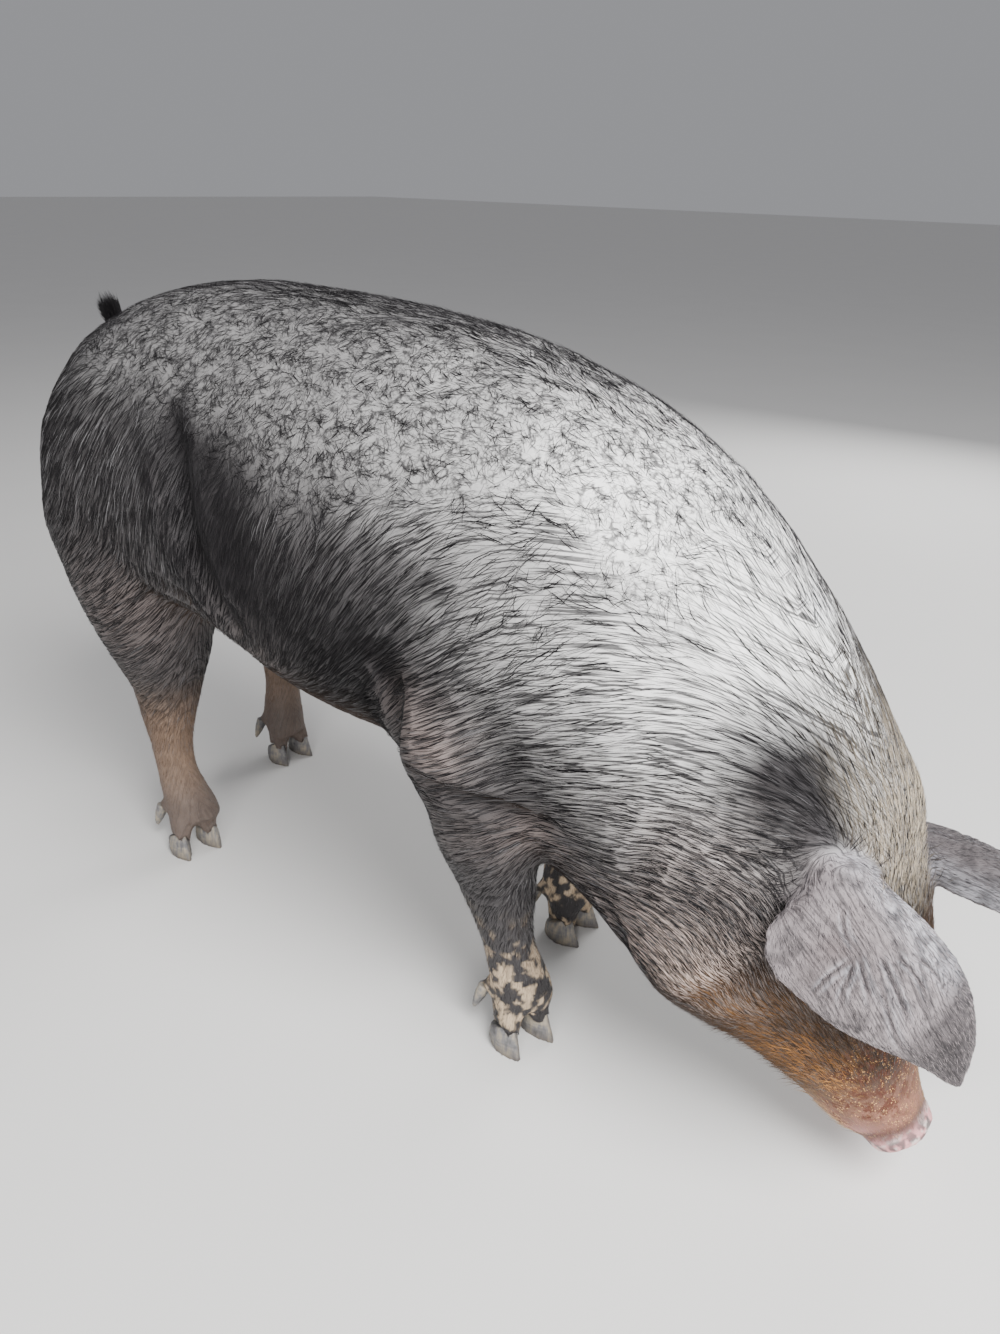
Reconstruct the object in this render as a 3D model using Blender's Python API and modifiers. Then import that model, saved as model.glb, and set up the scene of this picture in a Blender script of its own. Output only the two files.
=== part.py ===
"""A life-size domestic pig, standing on four feet with its head lowered to feed.

Metres. +X is forward, +Y is the pig's left, +Z is up, and the hooves stand on Z = 0.
The trunk, neck and head are one loft along a centre line, and the legs are lofts set into
it. One remeshed body is given its muscles and folds, and thin cuts then part it into nodes.
"""

import math

import bmesh
import bpy
import numpy as np
from mathutils import Matrix, Vector
from mathutils.bvhtree import BVHTree

# Gaps and mesh sizes
GAP = 0.0003
VOXEL = 0.0055
BODY_TRIANGLES = 7900
LEFT, RIGHT = 1, -1

# Trunk, neck and head, station by station along the middle of the pig
# x, z, half width, height above the line, depth below it, squareness, extra width low down
TRUNK_STATIONS = (
    (-0.478, 0.600, 0.050, 0.045, 0.060, 2.0, 0.00),
    (-0.462, 0.598, 0.098, 0.095, 0.105, 2.0, 0.00),
    (-0.416, 0.590, 0.154, 0.155, 0.150, 2.2, 0.00),
    (-0.335, 0.580, 0.194, 0.205, 0.165, 2.3, 0.00),
    (-0.220, 0.570, 0.206, 0.236, 0.150, 2.3, 0.02),
    (-0.090, 0.564, 0.216, 0.243, 0.180, 2.2, 0.04),
    (0.040, 0.562, 0.222, 0.240, 0.220, 2.2, 0.05),
    (0.160, 0.557, 0.220, 0.231, 0.224, 2.2, 0.03),
    (0.270, 0.540, 0.210, 0.217, 0.218, 2.2, 0.00),
    (0.370, 0.505, 0.194, 0.203, 0.226, 2.1, 0.00),
    (0.460, 0.448, 0.174, 0.178, 0.243, 2.0, 0.00),
    (0.535, 0.375, 0.152, 0.158, 0.229, 2.0, 0.00),
    (0.596, 0.295, 0.128, 0.126, 0.182, 2.1, 0.06),
    (0.644, 0.222, 0.102, 0.094, 0.142, 2.2, 0.14),
    (0.680, 0.158, 0.076, 0.062, 0.092, 2.2, 0.12),
    (0.704, 0.117, 0.059, 0.046, 0.066, 2.1, 0.06),
    (0.722, 0.094, 0.049, 0.038, 0.047, 2.1, 0.02),
    (0.735, 0.080, 0.041, 0.031, 0.034, 2.1, 0.00),
    (0.746, 0.064, 0.042, 0.034, 0.026, 2.2, 0.00),
)
TRUNK_RINGS = 80
TRUNK_SIDES = 56

# Legs from the root inside the trunk down to the pastern, for a right leg
# x, distance from the middle plane, z, half length fore and aft, half width
FORELEG_STATIONS = (
    (0.250, 0.120, 0.560, 0.110, 0.060),
    (0.268, 0.128, 0.470, 0.115, 0.070),
    (0.298, 0.130, 0.390, 0.082, 0.068),
    (0.300, 0.127, 0.330, 0.069, 0.060),
    (0.297, 0.120, 0.280, 0.064, 0.054),
    (0.298, 0.108, 0.235, 0.051, 0.044),
    (0.305, 0.104, 0.200, 0.042, 0.040),
    (0.312, 0.103, 0.165, 0.034, 0.033),
    (0.319, 0.099, 0.128, 0.031, 0.031),
    (0.325, 0.092, 0.095, 0.033, 0.035),
    (0.333, 0.087, 0.068, 0.030, 0.037),
    (0.341, 0.083, 0.050, 0.022, 0.030),
)
HINDLEG_STATIONS = (
    (-0.305, 0.090, 0.620, 0.120, 0.080),
    (-0.305, 0.112, 0.520, 0.138, 0.090),
    (-0.296, 0.120, 0.440, 0.126, 0.084),
    (-0.286, 0.122, 0.370, 0.100, 0.072),
    (-0.284, 0.117, 0.310, 0.072, 0.057),
    (-0.292, 0.108, 0.262, 0.051, 0.044),
    (-0.298, 0.108, 0.225, 0.044, 0.036),
    (-0.296, 0.111, 0.180, 0.033, 0.030),
    (-0.292, 0.110, 0.135, 0.029, 0.028),
    (-0.287, 0.104, 0.095, 0.032, 0.034),
    (-0.277, 0.098, 0.068, 0.029, 0.036),
    (-0.267, 0.093, 0.050, 0.022, 0.030),
)
LEG_RINGS = 44
LEG_SIDES = 28
LEG_SHIFT_TOP = 0.48

# Where each foot stands: name, side, end of the body, shift of the foot, toe-out angle
FEET = (
    ("foreleg_right", RIGHT, "fore", (0.000, 0.000), 15.0),
    ("foreleg_left", LEFT, "fore", (-0.068, 0.012), 2.0),
    ("hindleg_right", RIGHT, "hind", (0.000, 0.000), 9.0),
    ("hindleg_left", LEFT, "hind", (-0.100, 0.064), -6.0),
)

# Toes, hooves and dewclaws, in the foot's own frame: forward, outward, up, and a radius
CLAW_LENGTH = 0.060
CLAW_WIDTH = 0.033
CLAW_HEIGHT = 0.040
CLAW_HEEL_HEIGHT = 0.020
CLAW_SPACING = 0.020
CLAW_SPLAY = 7.0
CLAW_CENTRE_X = 0.012
TOE_TOP = (0.002, 0.0144, 0.074, 0.0185)
TOE_TIP = (0.020, 0.0196, 0.026, 0.0150)
TOE_HEEL = (-0.004, 0.0190, 0.026, 0.0135)
DEWCLAW_LENGTH = 0.042
DEWCLAW_RADIUS = 0.0095
DEWCLAW_ROOT = (-0.004, 0.019, 0.082, 0.015)
DEWCLAW_PLACE = (-0.026, 0.026, 0.066)
DEWCLAW_AIM = (-0.30, 0.22, -1.0)
DEWCLAW_TAPER = 0.72
CLAW_SIDES = 16
CLAW_TOP_LENGTH = 0.66
CLAW_TOE_PINCH = 0.42
CLAW_INNER_SIDE = 0.72
CLAW_SETBACK = 0.11
CLAW_BULGE = 0.10
CLAW_TOP_NARROWING = 0.06

# Ears: outline from root to tip in the ear's own plane, u along the ear and v across it
EAR_LEADING_EDGE = (
    (-0.010, 0.028), (0.024, 0.035), (0.056, 0.044), (0.085, 0.049), (0.116, 0.050),
    (0.145, 0.043), (0.175, 0.026), (0.190, 0.010), (0.197, -0.003),
)
EAR_TRAILING_EDGE = (
    (-0.026, -0.030), (-0.018, -0.059), (-0.008, -0.085), (0.014, -0.094), (0.052, -0.086),
    (0.096, -0.070), (0.130, -0.048), (0.168, -0.023), (0.195, -0.009),
)
EAR_ROOT = {RIGHT: (0.670, -0.085, 0.375), LEFT: (0.688, 0.080, 0.318)}
EAR_LENGTHWISE = {RIGHT: (0.684, 0.025, -0.729), LEFT: (0.88, 0.40, -0.13)}
EAR_OUTWARD = {RIGHT: (0.576, -0.631, 0.519), LEFT: (0.34, 0.22, 0.91)}
EAR_CUP = 0.024
EAR_DROOP = 0.030
EAR_THICKNESS = 0.0055
EAR_ROOT_THICKNESS = 0.020
EAR_ROWS = 13
EAR_COLUMNS = 9
EAR_ROOT_ROWS = 2
EAR_ROOT_STEP = 0.020
EAR_OUTER_SHARE = 0.35

# Eyes, lids, mouth and nose
EYE_PLACE = (0.690, 0.245)
EYE_RADIUS = 0.0125
EYE_DEPTH = 0.0085
EYE_OPENING = (0.0115, 0.0062)
LID_RADIUS = 0.0038
LID_TURNS = 20
LID_SIDES = 6
EYE_CORNER_PINCH = 0.25
CUTTER_REACH = 0.030
DISC_PLANE_BACK = 0.017
MOUTH_CORNER = (0.640, 0.120)
MOUTH_FRONT = (0.706, 0.056)
MOUTH_SAG = 0.008
MOUTH_GROOVE_RADIUS = 0.0022
MOUTH_HALF_POINTS = 14
MOUTH_RINGS = 46
MOUTH_SIDES = 6
NOSTRIL_OFFSET = 0.0155
NOSTRIL_RADII = (0.0070, 0.0095)
NOSTRIL_DEPTH = 0.011
NOSTRIL_END_SHARE = 0.72
NOSTRIL_SIDES = 12

# Tail: a loose curl with a tuft of bristles
TAIL_ROUTE = (
    (-0.415, 0.000, 0.665, 0.0230), (-0.470, 0.000, 0.690, 0.0180),
    (-0.512, -0.006, 0.690, 0.0150), (-0.541, -0.010, 0.660, 0.0135),
    (-0.548, 0.006, 0.624, 0.0120), (-0.543, 0.032, 0.615, 0.0112),
    (-0.535, 0.048, 0.636, 0.0105), (-0.532, 0.047, 0.672, 0.0097),
    (-0.531, 0.038, 0.706, 0.0088), (-0.530, 0.032, 0.725, 0.0078),
)
TAIL_RINGS = 20
TAIL_SIDES = 9
TUFT_LOCKS = 11
TUFT_CORE_END = 0.021
TUFT_CORE_RADII = (0.0074, 0.0050)
TUFT_BEND = (-0.10, 0.05, -0.16)
GOLDEN_TURN = 2.399963
TUFT_LENGTH = 0.052
TUFT_WIDTH = 0.0085
TUFT_THICKNESS = 0.0030
TUFT_SPREAD = 34.0

# Muscles and bulges raised on the body: x, y, z, reach, height; y is mirrored
SWELLINGS = (
    ("elbow", 0.292, 0.195, 0.435, 0.055, 0.022),
    ("shoulder blade", 0.290, 0.190, 0.600, 0.110, 0.008),
    ("ham", -0.350, 0.195, 0.560, 0.120, 0.010),
    ("ham behind", -0.455, 0.110, 0.550, 0.100, 0.014),
    ("ham front", -0.130, 0.205, 0.590, 0.075, 0.012),
    ("stifle", -0.170, 0.200, 0.465, 0.065, 0.012),
    ("jowl", 0.520, 0.112, 0.212, 0.068, 0.022),
    ("cheek", 0.620, 0.110, 0.255, 0.050, 0.008),
    ("brow", 0.705, 0.060, 0.290, 0.032, 0.007),
    ("poll", 0.675, 0.050, 0.410, 0.045, 0.008),
    ("upper lip", 0.706, 0.052, 0.092, 0.022, 0.004),
    ("lower lip", 0.690, 0.040, 0.065, 0.020, 0.003),
    ("breast", 0.440, 0.080, 0.300, 0.070, 0.010),
)

# Folds sunk in the skin: name, depth, width, and the route as x, y, z; y is mirrored
FOLDS = (
    ("flank", 0.019, 0.016, ((-0.115, 0.185, 0.705), (-0.080, 0.198, 0.672),
                             (-0.054, 0.212, 0.625), (-0.040, 0.218, 0.575),
                             (-0.026, 0.218, 0.532), (-0.006, 0.212, 0.495),
                             (0.030, 0.195, 0.455))),
    ("elbow behind", 0.017, 0.014, ((0.246, 0.210, 0.510), (0.252, 0.212, 0.465),
                                    (0.244, 0.206, 0.420), (0.228, 0.190, 0.372),
                                    (0.222, 0.165, 0.320))),
    ("elbow under", 0.009, 0.011, ((0.266, 0.205, 0.392), (0.302, 0.205, 0.386),
                                   (0.342, 0.188, 0.376), (0.385, 0.160, 0.360),
                                   (0.424, 0.156, 0.362))),
    ("elbow above", 0.005, 0.014, ((0.210, 0.225, 0.515), (0.270, 0.225, 0.500),
                                   (0.345, 0.215, 0.490))),
    ("neck behind ear", 0.005, 0.009, ((0.560, 0.148, 0.398), (0.600, 0.135, 0.402),
                                       (0.642, 0.108, 0.425))),
    ("neck middle", 0.005, 0.012, ((0.560, 0.120, 0.480), (0.520, 0.150, 0.400),
                                   (0.490, 0.150, 0.320))),
    ("jowl front", 0.005, 0.014, ((0.640, 0.125, 0.345), (0.622, 0.128, 0.305),
                                  (0.600, 0.131, 0.262), (0.570, 0.126, 0.222),
                                  (0.545, 0.100, 0.195))),
    ("throat", 0.005, 0.016, ((0.500, 0.120, 0.215), (0.480, 0.060, 0.195),
                              (0.475, 0.000, 0.190))),
    ("hock bend", 0.006, 0.008, ((-0.330, 0.150, 0.245), (-0.295, 0.155, 0.232),
                                 (-0.262, 0.135, 0.245))),
    ("brow crease", 0.004, 0.008, ((0.725, 0.000, 0.300), (0.716, 0.035, 0.298),
                                   (0.700, 0.065, 0.285))),
)

# Cuts between the nodes of flesh: a point on the cut and the way it faces
NECK_CUT = ((0.460, 0.0, 0.480), (1.0, 0.0, -0.15))
HEAD_CUT = ((0.668, 0.0, 0.450), (0.807, 0.0, -0.590))
FORELEG_CUT = ((0.240, 0.140, 0.365), (-0.10, -0.50, 0.86))
HINDLEG_CUT = ((-0.300, 0.140, 0.400), (0.12, -0.50, 0.86))
FORELEG_SPAN = (0.070, 0.402)
HINDLEG_SPAN = (-0.600, -0.060)
LEG_INNER_SIDE = 0.006

# Colour, roughness and metallic value of each material
FINISHES = {
    "hide": ((0.165, 0.160, 0.165), 0.60, 0.0),
    "snout": ((0.300, 0.180, 0.160), 0.45, 0.0),
    "hoof": ((0.240, 0.215, 0.180), 0.45, 0.0),
    "eye": ((0.030, 0.018, 0.012), 0.08, 0.0),
    "bristle": ((0.015, 0.014, 0.014), 0.55, 0.0),
}


def clear_scene():
    for old in list(bpy.data.objects):
        bpy.data.objects.remove(old, do_unlink=True)


def mesh_object(name, points, faces):
    """A mesh object made from points and faces."""
    mesh = bpy.data.meshes.new(name)
    mesh.from_pydata([tuple(map(float, point)) for point in points], [], faces)
    mesh.update()
    made = bpy.data.objects.new(name, mesh)
    bpy.context.collection.objects.link(made)
    return made


def smooth_run(stations, count, axes):
    """Stations spread evenly along a smooth curve through the given ones."""
    knots = np.array(stations, dtype=float)
    steps = np.linalg.norm(np.diff(knots[:, axes], axis=0), axis=1)
    places = np.concatenate(([0.0], np.cumsum(steps)))
    slopes = np.diff(knots, axis=0) / steps[:, None]
    tangents = np.empty_like(knots)
    tangents[0], tangents[-1] = slopes[0], slopes[-1]
    before, after = steps[:-1, None], steps[1:, None]
    tangents[1:-1] = (slopes[:-1] * after + slopes[1:] * before) / (before + after)
    wanted = np.linspace(0.0, places[-1], count)
    span = np.clip(np.searchsorted(places, wanted, side="right") - 1, 0, len(steps) - 1)
    t = ((wanted - places[span]) / steps[span])[:, None]
    reach = steps[span][:, None]
    start, end = knots[span], knots[span + 1]
    return ((2 * t**3 - 3 * t**2 + 1) * start + (t**3 - 2 * t**2 + t) * reach * tangents[span]
            + (3 * t**2 - 2 * t**3) * end + (t**3 - t**2) * reach * tangents[span + 1])


def loft(name, rings):
    """A closed skin over rings of equal count, with a fan over each end."""
    rings = np.array(rings)
    count, sides = rings.shape[:2]
    points = list(rings.reshape(-1, 3)) + [rings[0].mean(axis=0), rings[-1].mean(axis=0)]
    faces = []
    for ring in range(count - 1):
        for side in range(sides):
            a, b = ring * sides + side, ring * sides + (side + 1) % sides
            faces.append((a, b, b + sides, a + sides))
    first, last = count * sides, count * sides + 1
    for side in range(sides):
        following = (side + 1) % sides
        faces.append((first, following, side))
        faces.append((last, (count - 1) * sides + side, (count - 1) * sides + following))
    made = mesh_object(name, points, faces)
    outward(made)
    return made


def outward(target):
    """Turns the faces of a closed mesh outwards."""
    shape = bmesh.new()
    shape.from_mesh(target.data)
    bmesh.ops.recalc_face_normals(shape, faces=shape.faces)
    shape.to_mesh(target.data)
    shape.free()


def baked(target):
    """Applies every modifier of an object."""
    bpy.context.view_layer.update()
    graph = bpy.context.evaluated_depsgraph_get()
    mesh = bpy.data.meshes.new_from_object(target.evaluated_get(graph))
    target.modifiers.clear()
    target.data = mesh
    return target


def duplicate(source, name):
    copy = bpy.data.objects.new(name, source.data.copy())
    bpy.context.collection.objects.link(copy)
    return copy


def remove(*targets):
    for target in targets:
        bpy.data.objects.remove(target, do_unlink=True)


def triangulate(target):
    shape = bmesh.new()
    shape.from_mesh(target.data)
    bmesh.ops.triangulate(shape, faces=shape.faces)
    shape.to_mesh(target.data)
    shape.free()
    return target


def keep_largest(target):
    """Keeps only the largest closed surface of an object, and drops loose scraps."""
    shape = bmesh.new()
    shape.from_mesh(target.data)
    bmesh.ops.dissolve_degenerate(shape, edges=shape.edges, dist=0.000005)
    bmesh.ops.triangulate(shape, faces=shape.faces)
    unseen = set(shape.verts)
    groups = []
    while unseen:
        stack = [unseen.pop()]
        group = set(stack)
        while stack:
            for edge in stack.pop().link_edges:
                for other in edge.verts:
                    if other in unseen:
                        unseen.discard(other)
                        group.add(other)
                        stack.append(other)
        groups.append(group)
    groups.sort(key=len, reverse=True)
    scraps = [vertex for group in groups[1:] for vertex in group]
    bmesh.ops.delete(shape, geom=scraps, context="VERTS")
    shape.to_mesh(target.data)
    shape.free()
    return target


def combine(target, other, operation):
    """One boolean between two objects, applied to the first."""
    other.hide_render = True
    other.display_type = "WIRE"
    uncut = target.data.copy()
    for solver in ("EXACT", "MANIFOLD"):
        cut = target.modifiers.new(operation.title(), "BOOLEAN")
        cut.operation = operation
        cut.solver = solver
        cut.object = other
        baked(target)
        if len(target.data.polygons) > 0 and is_closed(target):
            break
        if solver == "EXACT":
            target.data = uncut
    return target


def is_closed(target):
    """Whether every edge of an object has exactly two faces."""
    shape = bmesh.new()
    shape.from_mesh(target.data)
    closed = all(edge.is_manifold for edge in shape.edges)
    shape.free()
    return closed


def united(name, pieces):
    """Joins closed pieces into one body by a union on a collection, then removes them."""
    first, rest = pieces[0], pieces[1:]
    group = bpy.data.collections.new(name + "_pieces")
    bpy.context.scene.collection.children.link(group)
    for piece in rest:
        bpy.context.collection.objects.unlink(piece)
        group.objects.link(piece)
    apart = first.data.copy()
    for solver in ("EXACT", "MANIFOLD"):
        join = first.modifiers.new("Union", "BOOLEAN")
        join.operation = "UNION"
        join.solver = solver
        join.operand_type = "COLLECTION"
        join.collection = group
        baked(first)
        if len(first.data.polygons) > 0 and is_closed(first):
            break
        if solver == "EXACT":
            first.data = apart
    remove(*list(group.objects))
    bpy.data.collections.remove(group)
    first.name = name
    return first


def grown(source, distance, name):
    """A copy of a closed object with its surface moved out along its normals."""
    copy = duplicate(source, name)
    places = coordinates(copy) + normals(copy) * distance
    set_coordinates(copy, places)
    return copy


def coordinates(target):
    places = np.empty(len(target.data.vertices) * 3)
    target.data.vertices.foreach_get("co", places)
    return places.reshape(-1, 3)


def set_coordinates(target, places):
    target.data.vertices.foreach_set("co", np.ascontiguousarray(places).ravel())
    target.data.update()


def normals(target):
    values = np.empty(len(target.data.vertices) * 3)
    target.data.vertex_normals.foreach_get("vector", values)
    return values.reshape(-1, 3)


def smooth_step(value, low, high):
    t = np.clip((value - low) / (high - low), 0.0, 1.0)
    return t * t * (3.0 - 2.0 * t)


def mirrored(point, side):
    """A point given for the left side, on the side asked for."""
    return np.array((point[0], point[1] * side, point[2]), dtype=float)


def relax(target, rounds, weights):
    """Moves each vertex towards the mean of its neighbours, by its own weight."""
    edges = np.empty(len(target.data.edges) * 2, dtype=int)
    target.data.edges.foreach_get("vertices", edges)
    edges = edges.reshape(-1, 2)
    places = coordinates(target)
    count = len(places)
    ends = np.concatenate((edges[:, 0], edges[:, 1]))
    others = np.concatenate((edges[:, 1], edges[:, 0]))
    valence = np.bincount(ends, minlength=count)[:, None]
    for _ in range(rounds):
        mean = np.stack([np.bincount(ends, places[others, axis], count)
                         for axis in range(3)], axis=1) / valence
        places += (mean - places) * weights[:, None]
    set_coordinates(target, places)


def trunk():
    """Torso, neck and head in one loft along the centre line."""
    line = smooth_run(TRUNK_STATIONS, TRUNK_RINGS, [0, 1])
    tangents = np.gradient(line[:, :2], axis=0)
    tangents /= np.linalg.norm(tangents, axis=1)[:, None]
    angles = np.linspace(0.0, 2.0 * math.pi, TRUNK_SIDES, endpoint=False)
    rings = []
    for (x, z, half_width, above, below, square, low), (tx, tz) in zip(line, tangents):
        across, up = np.cos(angles), np.sin(angles)
        power = 2.0 / square
        across = np.sign(across) * np.abs(across) ** power
        up = np.sign(up) * np.abs(up) ** power
        y = across * half_width * (1.0 + low * np.clip(-up, 0.0, 1.0))
        height = np.where(up > 0.0, up * above, up * below)
        rings.append(np.stack((x - tz * height, y, z + tx * height), axis=1))
    return loft("trunk", rings)


def foot_frame(side, end, shift, toe_out):
    """The place and the forward and outward directions of one foot on the floor."""
    stations = FORELEG_STATIONS if end == "fore" else HINDLEG_STATIONS
    x, y = stations[-3][0] + shift[0], stations[-3][1] * side + shift[1]
    angle = math.radians(toe_out) * side
    forward = np.array((math.cos(angle), math.sin(angle), 0.0))
    out = np.array((-math.sin(angle), math.cos(angle), 0.0)) * side
    return np.array((x, y, 0.0)), forward, out


def leg(name, side, end, shift, toe_out):
    """One leg as a loft, with its foot moved to where it stands."""
    stations = FORELEG_STATIONS if end == "fore" else HINDLEG_STATIONS
    run = smooth_run(stations, LEG_RINGS, [0, 1, 2])
    angles = np.linspace(0.0, 2.0 * math.pi, LEG_SIDES, endpoint=False)
    rings = []
    for x, y, z, length, width in run:
        share = 1.0 - smooth_step(z, 0.10, LEG_SHIFT_TOP)
        turn = math.radians(toe_out) * side * (1.0 - smooth_step(z, 0.08, 0.22))
        fore, across = np.cos(angles) * length, np.sin(angles) * width
        rings.append(np.stack((
            x + shift[0] * share + fore * math.cos(turn) - across * math.sin(turn),
            y * side + shift[1] * share + fore * math.sin(turn) + across * math.cos(turn),
            np.full(LEG_SIDES, z)), axis=1))
    return loft(name, rings)


def capsule(name, start, end, start_radius, end_radius, sides=12, rings=7):
    """A round-ended limb between two points, as a loft."""
    start, end = np.array(start, float), np.array(end, float)
    axis = end - start
    length = np.linalg.norm(axis)
    axis /= length
    side = np.cross(axis, (0.0, 0.0, 1.0) if abs(axis[2]) < 0.9 else (1.0, 0.0, 0.0))
    side /= np.linalg.norm(side)
    other = np.cross(axis, side)
    loops = []
    for step in np.linspace(-1.0, 1.0, rings):
        swing = step * math.pi * 0.5 * 0.92
        share = (math.sin(swing) + 1.0) * 0.5
        radius = (start_radius * (1 - share) + end_radius * share) * math.cos(swing) ** 0.6
        reach = share * (length + start_radius + end_radius) - start_radius
        turn = np.linspace(0.0, 2.0 * math.pi, sides, endpoint=False)[:, None]
        loops.append(start + axis * reach + radius * (np.cos(turn) * side + np.sin(turn) * other))
    return loft(name, loops)


def toes(name, side, end, shift, toe_out):
    """Flesh of the two toes and the two dewclaw stumps of one foot."""
    place, forward, out = foot_frame(side, end, shift, toe_out)
    up = np.array((0.0, 0.0, 1.0))
    pieces = []
    for spread in (-1, 1):
        lean = math.radians(CLAW_SPLAY) * spread
        ahead = forward * math.cos(lean) + out * math.sin(lean)
        top = place + forward * TOE_TOP[0] + out * TOE_TOP[1] * spread + up * TOE_TOP[2]
        low = place + ahead * TOE_TIP[0] + out * TOE_TIP[1] * spread + up * TOE_TIP[2]
        heel = place + ahead * TOE_HEEL[0] + out * TOE_HEEL[1] * spread + up * TOE_HEEL[2]
        pieces.append(capsule(name + "_toe", top, low, TOE_TOP[3], TOE_TIP[3]))
        pieces.append(capsule(name + "_heel", top, heel, TOE_TOP[3], TOE_HEEL[3]))
        root, nub = (place + forward * ahead_of + out * aside * spread + up * height
                     for ahead_of, aside, height in (DEWCLAW_ROOT[:3], DEWCLAW_PLACE))
        pieces.append(capsule(name + "_nub", root, nub, DEWCLAW_ROOT[3], DEWCLAW_RADIUS * 1.1))
    return pieces


def claw(name, side, end, shift, toe_out, spread):
    """One hoof: a D-shaped wall on a flat sole, pointed at the toe."""
    place, forward, out = foot_frame(side, end, shift, toe_out)
    lean = math.radians(CLAW_SPLAY) * spread
    ahead = forward * math.cos(lean) + out * math.sin(lean)
    across = (out * math.cos(lean) - forward * math.sin(lean)) * spread
    centre = place + out * CLAW_SPACING * spread + ahead * CLAW_CENTRE_X
    loops = []
    for share in np.linspace(0.0, 1.0, 4):
        half_length = CLAW_LENGTH * 0.5 * (1.0 - (1.0 - CLAW_TOP_LENGTH) * share)
        setback = -CLAW_LENGTH * CLAW_SETBACK * share
        swell = 1.0 + CLAW_BULGE * math.sin(math.pi * share) - CLAW_TOP_NARROWING * share
        half_width = CLAW_WIDTH * 0.5 * swell
        loop = []
        for angle in np.linspace(0.0, 2.0 * math.pi, CLAW_SIDES, endpoint=False):
            along, wide = math.cos(angle), math.sin(angle)
            pinch = 1.0 - CLAW_TOE_PINCH * smooth_step(along, 0.1, 1.0)
            inner = CLAW_INNER_SIDE if wide < 0.0 else 1.0
            x = setback + half_length * along
            y = half_width * wide * pinch * inner
            rise = CLAW_HEEL_HEIGHT + (CLAW_HEIGHT - CLAW_HEEL_HEIGHT) * (along + 1.0) * 0.5
            loop.append(centre + ahead * x + across * y + np.array((0.0, 0.0, rise * share)))
        loops.append(loop)
    made = loft(name, loops)
    for vertex in made.data.vertices:
        if vertex.co.z < 1e-6:
            vertex.co.z = 0.0
    return triangulate(made)


def dewclaw(name, side, end, shift, toe_out, spread):
    """A small pointed claw behind the pastern, pointing down and back."""
    place, forward, out = foot_frame(side, end, shift, toe_out)
    start = (place + forward * DEWCLAW_PLACE[0] + out * DEWCLAW_PLACE[1] * spread
             + np.array((0.0, 0.0, DEWCLAW_PLACE[2] + 0.002)))
    aim = forward * DEWCLAW_AIM[0] + out * DEWCLAW_AIM[1] * spread
    aim += np.array((0.0, 0.0, DEWCLAW_AIM[2]))
    aim /= np.linalg.norm(aim)
    lateral = np.cross(aim, forward)
    lateral /= np.linalg.norm(lateral)
    other = np.cross(aim, lateral)
    loops = []
    for share in np.linspace(0.0, 1.0, 5):
        radius = DEWCLAW_RADIUS * (1.0 - share**2 * DEWCLAW_TAPER)
        middle = start + aim * DEWCLAW_LENGTH * share
        turn = np.linspace(0.0, 2.0 * math.pi, 8, endpoint=False)[:, None]
        loops.append(middle + radius * (np.cos(turn) * lateral * 1.15 + np.sin(turn) * other * 0.8))
    return triangulate(loft(name, loops))


def sculpt(body):
    """Raises the muscles and sinks the folds of the skin."""
    places, facing = coordinates(body), normals(body)
    moved = np.zeros(len(places))
    for side in (LEFT, RIGHT):
        for _, x, y, z, reach, height in SWELLINGS:
            away = np.linalg.norm(places - np.array((x, y * side, z)), axis=1)
            moved += height * np.exp(-(away / reach) ** 2)
        for _, depth, width, route in FOLDS:
            run = smooth_run([mirrored(point, side) for point in route], 60, [0, 1, 2])
            near = np.abs(places[:, 1] - run[:, 1].mean()) < 0.25
            gaps = np.linalg.norm(places[near][:, None, :] - run[None, :, :], axis=2)
            nearest = gaps.argmin(axis=1)
            away = gaps.min(axis=1)
            along = nearest / (len(run) - 1)
            fade = smooth_step(along, 0.0, 0.2) * smooth_step(1.0 - along, 0.0, 0.2)
            groove = np.exp(-(away / width) ** 2)
            lips = np.exp(-((away - 2.2 * width) / (1.2 * width)) ** 2)
            moved[near] += (0.30 * lips - groove) * depth * fade
    set_coordinates(body, places + facing * moved[:, None])


def thinned(body):
    """Brings the body down to its count of triangles, finest on the head and feet."""
    triangulate(body)
    places = coordinates(body)
    head = smooth_step(places[:, 0], 0.50, 0.64)
    feet = 1.0 - smooth_step(places[:, 2], 0.10, 0.30)
    coarse = 1.0 - 0.95 * np.maximum(head, feet)
    group = body.vertex_groups.new(name="coarse")
    for index, weight in enumerate(coarse):
        group.add([index], float(weight), "REPLACE")
    thin = body.modifiers.new("Decimate", "DECIMATE")
    thin.ratio = BODY_TRIANGLES / len(body.data.polygons)
    thin.use_collapse_triangulate = True
    thin.vertex_group = "coarse"
    thin.vertex_group_factor = 0.006
    baked(body)
    body.vertex_groups.clear()
    return body


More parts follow.
